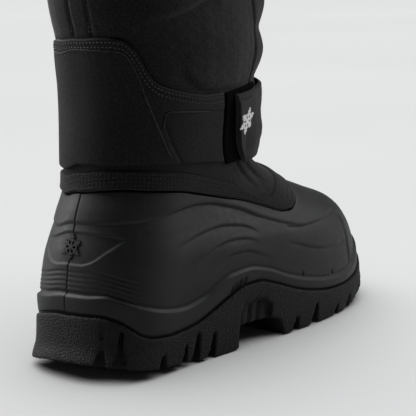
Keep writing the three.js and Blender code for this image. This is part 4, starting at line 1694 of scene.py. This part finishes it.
# ---- Shaft ----
@dataclass
class Shaft:
    """The padded nylon leg: two cloths over wadding, puffed between its seams."""

    columns: int = 420
    rise_rows: int = 150
    lining_rows: int = 40
    panel_end: float = 0.57
    held_end: float = 0.6
    fill: float = 0.55
    heart_heights: Row = (90, 130, 290)
    heart_places: Row = (120, 100, 92)
    folds: tuple[Relief, ...] = (
        Crease(((0.678, 283, 0.8), (0.678, 244, 1), (0.70, 225, 1), (0.706, 206, 1), (0.70, 191, 1),
                (0.7, 150, 0.4), (0.7, 125, 0)), 1.8, 2.2),
        Crease(((0.2, 233, 0), (0.256, 235, 0.7), (0.306, 237, 1), (0.378, 242, 1), (0.422, 246, 0.8),
                (0.5, 252, 0)), 2.0, 3.2, 0.9, 9.0),
        Crease(((0.3, 203, 0), (0.339, 197, 0.8), (0.361, 192.5, 1), (0.406, 188.5, 1), (0.461, 186.5, 0.8),
                (0.56, 186, 0.6), (0.62, 186, 0)), 1.4, 2.6, 1.0, 6.0),
        Puff(0.5, 215, 42, 20, 3.4, True),
        Puff(0.22, 236, 30, 16, 1.6, True),
        Puff(0.0, 240, 34, 14, 1.4),
        Puff(0.82, 207, 22, 11, 3.0, True),
        Puff(0.82, 243, 24, 13, 3.0, True),
        Puff(0.82, 224, 26, 6, -1.4, True),
        Puff(0.82, 189, 26, 5, -1.6, True),
        Puff(0.86, 128, 34, 12, -2.4, True),
        Crease(((0.725, 134, 1), (0.739, 128, 1), (0.744, 120, 1), (0.75, 112, 0)),
               1.8, 2.4, 0.8, 5.0, False),
        Crease(((0.655, 131, 1), (0.664, 124, 1), (0.672, 114, 0.6), (0.68, 108, 0)),
               1.5, 2.2, 0.6, 5.0, False),
        Crease(((-0.0155, 226, 1), (-0.0155, 255, 1), (-0.0155, 283, 1)), 0.9, 1.4, 0, 0, False),
        Crease(((0.05, 226, 1), (0.05, 255, 1), (0.05, 283, 1)), 0.9, 1.4, 0, 0, False),
        Ripple(0.12, 30.0),
        Ripple(0.07, 11.0),
    )

    def build(self) -> bpy.types.Object:
        """Lays the outer cloth and the lining in one closed grid and dresses it.

        Returns:
            The piece.
        """
        around = ring_around(self.columns)
        station = station_of(around)
        low = shell_top_line(station) + JOINT_GAP
        high = np.full(around.shape, COLLAR_HEIGHT - BINDING_HEIGHT)
        outside = np.array(ramp(low, high, self.rise_rows, first=True))
        inside = np.array(ramp(high, low, self.lining_rows, first=True))
        height = np.concatenate([outside, inside, outside[:1]])
        turned = np.broadcast_to(around, height.shape)
        band_top = low + band_width_line(station)
        panel_top = np.where(station < self.panel_end, panel_top_line(station), strap_top_line(station))
        free = ease((outside - band_top) / 6) * ease((high - outside) / 8)
        under_panel = (outside < panel_top + 1) * (station < self.held_end)
        held = 1 - under_panel * ease((panel_top + 3 - outside) / 4)
        relief = total_relief(self.folds, turned[:len(outside)], outside)
        offset = np.full(height.shape, -SHAFT_WALL)
        offset[:len(outside)] = relief * free * np.where(outside < panel_top + 2, held, 1)
        offset[-1] = offset[0]
        level = ease((height - 190) / 20)
        piece = to_object("padded_shaft", grid_shape(FORM.layer(turned, height, offset, level)), LAID_SHARP)
        dress(piece, "nylon", OXFORD_NYLON.mix(), LINING_FELT.mix())
        self.line(piece)
        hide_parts("shaft")
        return piece

    def line(self, piece: bpy.types.Object) -> None:
        """Gives the faces that look into the boot the lining's finish.

        Args:
            piece: the shaft.
        """
        mesh = piece.data
        outward = np.empty(len(mesh.polygons) * 3)
        centres = np.empty(len(mesh.polygons) * 3)
        mesh.polygons.foreach_get("normal", outward)
        mesh.polygons.foreach_get("center", centres)
        outward, centres = outward.reshape(-1, 3), centres.reshape(-1, 3) / MM - SHIFT
        from_heart = centres[:, :2].copy()
        from_heart[:, 0] -= np.interp(centres[:, 2], self.heart_heights, self.heart_places)
        inward = np.einsum("ij,ij->i", outward[:, :2], from_heart) < 0
        mesh.polygons.foreach_set("material_index", inward.astype(np.int32))


# ---- Trims of the upper ----
@dataclass
class SeamBand:
    """The nylon band that covers the joint of shaft and shell, sewn four times round."""

    thickness: float = 1.4
    settle: float = 0.35
    columns: int = 420
    seam_shares: tuple[float, ...] = (0.2, 0.42, 0.66, 0.86)
    dip: float = 0.35
    dip_width: float = 0.05
    sink: float = 0.15
    stitch: Row = (2.9, 1.9, 0.8)

    def section(self) -> list[tuple[float, float]]:
        """Lists the band's section as shares of its width and of its thickness.

        Returns:
            The rows of shares, in order round the section.
        """
        back = -self.settle
        rows = [(0.0, back), (0.0, 0.45), (0.03, 0.8), (0.08, 1.0)]
        rows += [(share, 1.0) for share in np.linspace(0.12, 0.88, 20)]
        rows += [(0.92, 1.0), (0.97, 0.8), (1.0, 0.45), (1.0, back), (0.5, back), (0.0, back)]
        return rows

    def near_seams(self, share: float) -> float:
        """Gives how near a share of the width is to the rows of stitches."""
        return sum(math.exp(-(((share - seam) / self.dip_width) ** 2)) for seam in self.seam_shares)

    def build(self) -> list[bpy.types.Object]:
        """Lays the band and sews it.

        Returns:
            The pieces.
        """
        around = ring_around(self.columns)
        station = station_of(around)
        low, width = shell_top_line(station) + JOINT_GAP, band_width_line(station)
        rows = self.section()
        height = np.array([low + share * width for share, _ in rows])
        dips = np.array([-self.dip * self.near_seams(share) if rise == 1 else 0.0 for share, rise in rows])
        offset = np.array([LAYER_GAP + rise * self.thickness for _, rise in rows]) + dips
        turned = np.broadcast_to(around, height.shape)
        points = FORM.layer(turned, height, offset[:, None] * np.ones(height.shape))
        band = to_object("seam_band_cloth", grid_shape(points), LAID_SHARP)
        dress(band, "nylon", BAND_NYLON.mix())
        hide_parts("seam_band")
        ways = np.linspace(0, 2, 400)
        start, breadth = shell_top_line(station_of(ways)) + JOINT_GAP, band_width_line(station_of(ways))
        surface = LAYER_GAP + self.thickness - self.sink
        seams = [Seam(ways, start + share * breadth, surface, *self.stitch) for share in self.seam_shares]
        stitches = sewn("band_stitches", seams)
        dress(stitches, "nylon", BAND_THREAD.mix())
        return [band, stitches]


@dataclass
class CollarBinding:
    """The ribbed tape folded over the collar's edge."""

    overhang: float = 1.2
    roll: float = 3.0
    foot: float = 1.5
    turned_in: float = 0.6
    columns: int = 300

    def build(self) -> bpy.types.Object:
        """Runs a rounded section round the collar.

        Returns:
            The piece.
        """
        around = ring_around(self.columns)
        low = COLLAR_HEIGHT - BINDING_HEIGHT + GAP
        half = SHAFT_WALL / 2 + self.overhang
        outer, inner = self.overhang, -SHAFT_WALL - self.overhang
        section = [(low, outer - self.turned_in), (low, outer), (low + self.foot, outer)]
        for angle in np.linspace(0, math.pi, 13):
            height = COLLAR_HEIGHT - self.roll * (1 - math.sin(angle))
            section.append((height, -SHAFT_WALL / 2 + half * math.cos(angle)))
        section += [(low + self.foot, inner), (low, inner), (low, -SHAFT_WALL + self.turned_in), section[0]]
        height = np.array([[row[0]] for row in section]) * np.ones((1, len(around)))
        offset = np.array([[row[1]] for row in section]) * np.ones((1, len(around)))
        turned = np.broadcast_to(around, height.shape)
        points = FORM.layer(turned, height, offset, 1.0)
        piece = to_object("collar_tape", grid_shape(points), sharp_angle=70.0)
        dress(piece, "binding_tape", TAPE.mix())
        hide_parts("collar_binding")
        return piece


@dataclass
class AnklePanel:
    """The coated panel round the heel and ankle, with pressed lines and a twice-sewn top edge."""

    lean: float = 0.05
    layer: Patch = Patch(-0.505, 0.505, 400, 100, 2.0, 1.0)
    pressed: tuple[Crease, ...] = (
        Crease(((0.255, 176, 0), (0.261, 172, 0.6), (0.289, 159, 1), (0.339, 141, 1)), 0.8, 1.0),
        Crease(((0.267, 176, 1), (0.367, 175, 1), (0.472, 173, 1), (0.52, 172.5, 0.6)), 0.4, 0.8, 0.25, 2.0),
    )
    arch_line: tuple[Row, ...] = ((0, 216.5), (0.039, 216.8), (0.117, 216.5), (0.139, 215.5), (0.155, 212),
                                  (0.172, 205), (0.189, 195), (0.211, 182), (0.256, 162), (0.3, 145))
    quad_line: tuple[Row, ...] = ((0.262, 166), (0.267, 175.5), (0.28, 176.2), (0.367, 175), (0.45, 173.4))
    seam_drops: tuple[float, ...] = (2.7, 5.8)
    seam_end: float = 0.012
    seam_lean: float = 0.04
    seam_lift: float = 0.05
    stitch: Row = (2.7, 2.0, 1.1)
    way_run: float = 330.0

    def welts(self) -> list[Welt]:
        """Runs the pressed arch over the heel and the pressed quad's edge along both sides.

        Returns:
            The welts.
        """
        arch = tuple((-way, up) for way, up in self.arch_line[:0:-1]) + self.arch_line
        quads = (self.quad_line, tuple((-way, up) for way, up in self.quad_line))
        return [Welt(line, LAYER_GAP + self.layer.thickness) for line in (arch, *quads)]

    def seams(self) -> list[Seam]:
        """Runs the rows of stitches below the top edge, set square to it where it is steep.

        The square step is worked out with way_run millimetres to a unit of way.

        Returns:
            The rows.
        """
        reach = self.layer.end
        ways = np.linspace(-reach + self.seam_end, reach - self.seam_end, 300)
        top = panel_top_line(station_of(ways))
        slope = np.gradient(top, ways) / self.way_run
        length = np.sqrt(1 + slope**2)
        lean = self.lean * ways / reach * self.seam_lean
        surface = LAYER_GAP + self.layer.thickness + self.seam_lift
        seams = []
        for drop in self.seam_drops:
            nudge = -np.sign(ways) * drop * np.abs(slope) / length / self.way_run
            height = top - drop + drop * (1 - 1 / length)
            seams.append(Seam(ways + nudge + lean, height, surface, *self.stitch))
        return seams

    def build(self) -> list[bpy.types.Object]:
        """Lays the panel, presses its lines and sews its top edge.

        Returns:
            The pieces.
        """
        shape = self.layer.lay(
            panel_bottom_line, panel_top_line, LAYER_GAP, -self.lean, self.lean, self.pressed)
        panel = to_object("coated_ankle_panel", shape, LAID_SHARP)
        dress(panel, "coated_panel", PANEL_COAT.mix())
        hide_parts("ankle_panel")
        stitches = sewn("panel_stitches", self.seams())
        dress(stitches, "coated_panel", THREAD.mix())
        welts = welted("panel_welts", self.welts())
        # The welts get the lighter coat, a painted highlight along the pressed lines.
        dress(welts, "coated_panel", PAINTED_HIGHLIGHT_WELT_COAT.mix())
        return [panel, stitches, welts]


@dataclass
class BackStay:
    """The four rows of stitches up the back of the shaft."""

    rows: tuple[float, ...] = (-0.022, -0.011, 0.0445, 0.0555)
    low: float = 227.0
    high: float = 281.0
    lift: float = 0.6
    stitch: Row = (3.0, 2.0, 0.8)

    def build(self) -> bpy.types.Object:
        """Sews the rows.

        Returns:
            The piece.
        """
        height = np.linspace(self.low, self.high, 40)
        seams = [Seam(np.full(height.shape, way), height, self.lift, *self.stitch) for way in self.rows]
        stitches = sewn("stay_stitches", seams)
        dress(stitches, "nylon", THREAD.mix())
        return stitches


@dataclass
class LoopPatch:
    """The pile patch that the strap closes on."""

    layer: Patch = Patch(0.515, 0.71, 90, 40, 2.0, 1.0)
    bottom: float = 133.0
    below_panel: float = 1.0
    lean: float = 0.05

    def build(self) -> bpy.types.Object:
        """Lays the patch, its top just below the panel's.

        Returns:
            The piece.
        """
        stations = np.linspace(0.5, 0.8, 31)
        top = panel_top_line(stations) - self.below_panel
        bottom = Line(((0.0, self.bottom), (1.0, self.bottom)))
        shape = self.layer.lay(bottom, Line(tuple(zip(stations, top))), LAYER_GAP, self.lean, self.lean,
                               (Ripple(0.15, 9.0),))
        piece = to_object("pile_patch", shape, LAID_SHARP)
        dress(piece, "loop_pile", LOOP_PILE.mix())
        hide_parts("loop_patch")
        return piece


@dataclass
class Strap:
    """The padded strap across the instep, with a sewn label at its free end."""

    inside: float = 3.4
    crown: float = 0.7
    lean: float = 0.095
    fill: float = 0.7
    layer: Patch = Patch(0.56, 1.52, 300, 60, 2.4, 1.2)
    label: Patch = Patch(0.567, 0.652, 60, 50, 0.9, 0.6)
    label_lift: float = 0.55
    label_margin: float = 4.0
    label_lean: float = 0.08
    label_crown: float = 0.5
    label_seam: float = 0.004
    stitch: Row = (2.6, 1.7, 0.7)
    seam_lift: float = 1.15
    mark_lift: float = 1.65
    stands: tuple[Relief, ...] = (
        Crease(((0.655, 147, 0), (0.72, 148, 0.9), (0.78, 150, 1.1), (1.0, 151, 1)), -3.9, 13.0),
        Crease(((0.66, 186, 0), (0.74, 187, 1), (1.0, 190, 1)), 1.5, 9.0),
    )

    def margin_line(self, line: Line, inward: float) -> Line:
        """Moves an edge line of the strap up or down."""
        return Line(tuple(zip(line.places, line.values[:, 0] + inward)))

    def build(self) -> list[bpy.types.Object]:
        """Lays the strap and its label, sews both and sets the crystal mark.

        Returns:
            The pieces.
        """
        shape = self.layer.lay(strap_bottom_line, strap_top_line, self.inside, self.lean, 0.0,
                               (Ripple(0.15, 22.0),), self.crown, self.stands)
        strap = to_object("padded_strap", shape, LAID_SHARP)
        dress(strap, "strap_webbing", STRAP_CLOTH.mix())
        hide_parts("strap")
        surface = self.inside + self.layer.thickness + self.label_lift
        low = self.margin_line(strap_bottom_line, self.label_margin)
        high = self.margin_line(strap_top_line, -self.label_margin)
        shape = self.label.lay(low, high, surface, self.label_lean, self.label_lean, (), self.label_crown,
                               self.stands)
        label = to_object("strap_label", shape, LAID_SHARP)
        dress(label, "strap_webbing", LABEL_CLOTH.mix())
        share = np.linspace(0.06, 0.94, 60)
        sides = []
        for start in (self.label.start + self.label_seam, self.label.end - self.label_seam):
            height = low(start) + (high(start) - low(start)) * share
            around = start + self.label_lean * (1 - share)
            sides.append(Seam(around, height, surface + self.seam_lift, *self.stitch))
        stitches = sewn("label_stitches", sides)
        dress(stitches, "strap_webbing", THREAD.mix())
        mark = SnowCrystal("strap_crystal", 0.633, 163.5, 9.2, 1.5, 0.6, surface + self.mark_lift).build()
        dress(mark, "strap_webbing", MARK.mix())
        return [strap, label, stitches, mark]


@dataclass(frozen=True)
class SnowCrystal:
    """A plain six-armed snow crystal laid on a surface."""

    name: str
    around: float
    height: float
    radius: float
    width: float
    thickness: float
    offset: float
    arms: int = 6
    barbs: tuple[Row, ...] = ((0.42, 0.3), (0.68, 0.22))
    barb_angle: float = 60.0
    probe: float = 0.01

    def bar(self, shape: bmesh.types.BMesh, length: float, place: Matrix) -> None:
        """Adds one bar from the origin along +X, moved to its place.

        Args:
            shape: the bmesh it joins.
            length: its length.
            place: its place.
        """
        made = bmesh.ops.create_cube(shape, size=1.0)["verts"]
        bmesh.ops.transform(shape, verts=made, matrix=place @ Matrix.Translation((length / 2, 0, 0))
                            @ Matrix.Diagonal((length, self.width, self.thickness, 1)))

    def build(self) -> bpy.types.Object:
        """Lays out the arms and their barbs and wraps them onto the surface.

        Returns:
            The piece.
        """
        shape = bmesh.new()
        for i in range(self.arms):
            arm = Matrix.Rotation(math.tau * i / self.arms + math.pi / 2, 4, "Z")
            self.bar(shape, self.radius, arm)
            for along, length in self.barbs:
                root = arm @ Matrix.Translation((self.radius * along, 0, 0))
                for side in (1, -1):
                    turn = Matrix.Rotation(side * math.radians(self.barb_angle), 4, "Z")
                    self.bar(shape, self.radius * length, root @ turn)
        bmesh.ops.subdivide_edges(shape, edges=shape.edges[:], cuts=1, use_grid_fill=True)
        flat = np.array([vert.co for vert in shape.verts])
        ways = np.array([self.around - self.probe, self.around + self.probe])
        here, there = FORM.point(ways, np.full(2, self.height))
        turned = self.around + flat[:, 0] * (2 * self.probe / np.linalg.norm(there - here))
        placed = FORM.layer(turned, self.height + flat[:, 1], self.offset + flat[:, 2])
        for vert, place in zip(shape.verts, in_frame(placed)):
            vert.co = place
        bmesh.ops.recalc_face_normals(shape, faces=shape.faces[:])
        return to_object(self.name, shape, sharp_angle=30.0)


# ---- Studio ----
@dataclass(frozen=True)
class Lamp:
    """A square soft box: its place on the drawing, its power in watts and its side in metres."""

    name: str
    where: Row
    energy: float
    size: float


@dataclass
class Studio:
    """A pale floor, soft lights and the camera."""

    aim: Row = (150.8, 0.0, 89.8)
    distance: float = 1030.0
    turn: float = 38.4
    elevation: float = 12.0
    lens: float = 121.15
    sensor: float = 36.0
    floor_size: float = 40.0
    floor_colour: Colour = (0.72, 0.725, 0.73)
    floor_clouds: tuple[Colour, Colour] = ((0.71, 0.715, 0.72), (0.73, 0.735, 0.74))
    floor_roughness: float = 0.65
    floor_specular: float = 0.2
    cloud_size: float = 600.0
    sky_strength: float = 3.4
    sky_angle: float = 100.0
    surroundings_level: float = 0.04
    lamps: tuple[Lamp, ...] = (
        Lamp("left_box", (-365, 1080, 410), 9, 0.6),
        Lamp("rear_box", (39, 653, 1089), 46, 1.0),
        Lamp("right_box", (1030, -690, 490), 6, 0.7),
        Lamp("high_box", (857, -353, 1111), 10, 0.7),
    )
    lit: bpy.types.Collection = field(default_factory=lambda: bpy.data.collections.new("boot_pieces"))

    def floor(self) -> bpy.types.Object:
        """Lays the floor.

        Returns:
            The floor.
        """
        shape = bmesh.new()
        bmesh.ops.create_grid(shape, x_segments=2, y_segments=2, size=self.floor_size / 2)
        piece = to_object("floor", shape)
        recipe = Recipe("floor_paper", self.floor_colour, self.floor_roughness)
        cloud = recipe.noise(recipe.place(), self.cloud_size, 2.0)
        recipe.tint(recipe.spread(cloud, 0.0, 1.0), *self.floor_clouds)
        recipe.shader.inputs["Specular IOR Level"].default_value = self.floor_specular
        piece.data.materials.append(recipe.material)
        return piece

    def hang(self, lamp: Lamp) -> None:
        """Hangs a soft box that faces the boot and lights its pieces alone.

        Args:
            lamp: the soft box.
        """
        data = bpy.data.lights.new(lamp.name, "AREA")
        data.shape = "SQUARE"
        data.size = lamp.size
        data.energy = lamp.energy
        light = bpy.data.objects.new(lamp.name, data)
        place = Vector(in_frame(np.array(lamp.where, float)))
        facing = Vector(in_frame(np.array(self.aim, float))) - place
        light.matrix_world = Matrix.Translation(place) @ facing.to_track_quat("-Z", "Y").to_matrix().to_4x4()
        light.light_linking.receiver_collection = self.lit
        bpy.context.scene.collection.objects.link(light)

    def sky(self, floor: bpy.types.Object) -> None:
        """Hangs one wide soft light nearly straight above, which lights the floor alone.

        Args:
            floor: the floor.
        """
        data = bpy.data.lights.new("overhead", "SUN")
        data.energy = self.sky_strength
        data.angle = math.radians(self.sky_angle)
        light = bpy.data.objects.new("overhead", data)
        light.rotation_euler = (math.radians(-8), math.radians(4), 0)
        ground = bpy.data.collections.new("ground")
        ground.objects.link(floor)
        light.light_linking.receiver_collection = ground
        bpy.context.scene.collection.objects.link(light)

    def surroundings(self) -> None:
        """Sets the dim room round the stage."""
        world = bpy.data.worlds.new("room")
        world.use_nodes = True
        background = world.node_tree.nodes["Background"]
        background.inputs["Color"].default_value = (1, 1, 1, 1)
        background.inputs["Strength"].default_value = self.surroundings_level
        bpy.context.scene.world = world

    def camera(self) -> None:
        """Sets the camera."""
        data = bpy.data.cameras.new("camera")
        data.lens = self.lens
        data.sensor_width = self.sensor
        data.clip_end = 100
        eye = bpy.data.objects.new("camera", data)
        turn, rise = math.radians(self.turn), math.radians(self.elevation)
        level = math.cos(rise)
        forward = np.array([math.cos(turn) * level, math.sin(turn) * level, -math.sin(rise)])
        place = Vector(in_frame(np.array(self.aim) - forward * self.distance))
        facing = Vector(forward).to_track_quat("-Z", "Y").to_matrix().to_4x4()
        eye.matrix_world = Matrix.Translation(place) @ facing
        bpy.context.scene.collection.objects.link(eye)
        bpy.context.scene.camera = eye

    def build(self, pieces: Iterable[bpy.types.Object]) -> None:
        """Sets up the stage round the boot's pieces.

        Args:
            pieces: the boot's pieces.
        """
        for piece in pieces:
            self.lit.objects.link(piece)
        self.sky(self.floor())
        for lamp in self.lamps:
            self.hang(lamp)
        self.surroundings()
        self.camera()
        bpy.context.scene.view_settings.view_transform = "Standard"


def main() -> None:
    """Builds the boot and its stage, and notes the sizes."""
    logging.basicConfig(level=logging.INFO, format="%(message)s", force=True)
    pieces = [Outsole().build(), Shell().build(), Insole().build(), Shaft().build(), *SeamBand().build(),
              CollarBinding().build(), *AnklePanel().build(), BackStay().build(), LoopPatch().build(),
              *Strap().build()]
    emblem = SnowCrystal("heel_crystal", 0.0, 88.0, 8.5, 1.2, 1.0, -0.35).build()
    dress(emblem, "rubber_shell", SHELL_RUBBER.mix())
    pieces.append(emblem)
    for piece in pieces:
        report(piece)
    Studio().build(pieces)


if __name__ == "__main__":
    main()
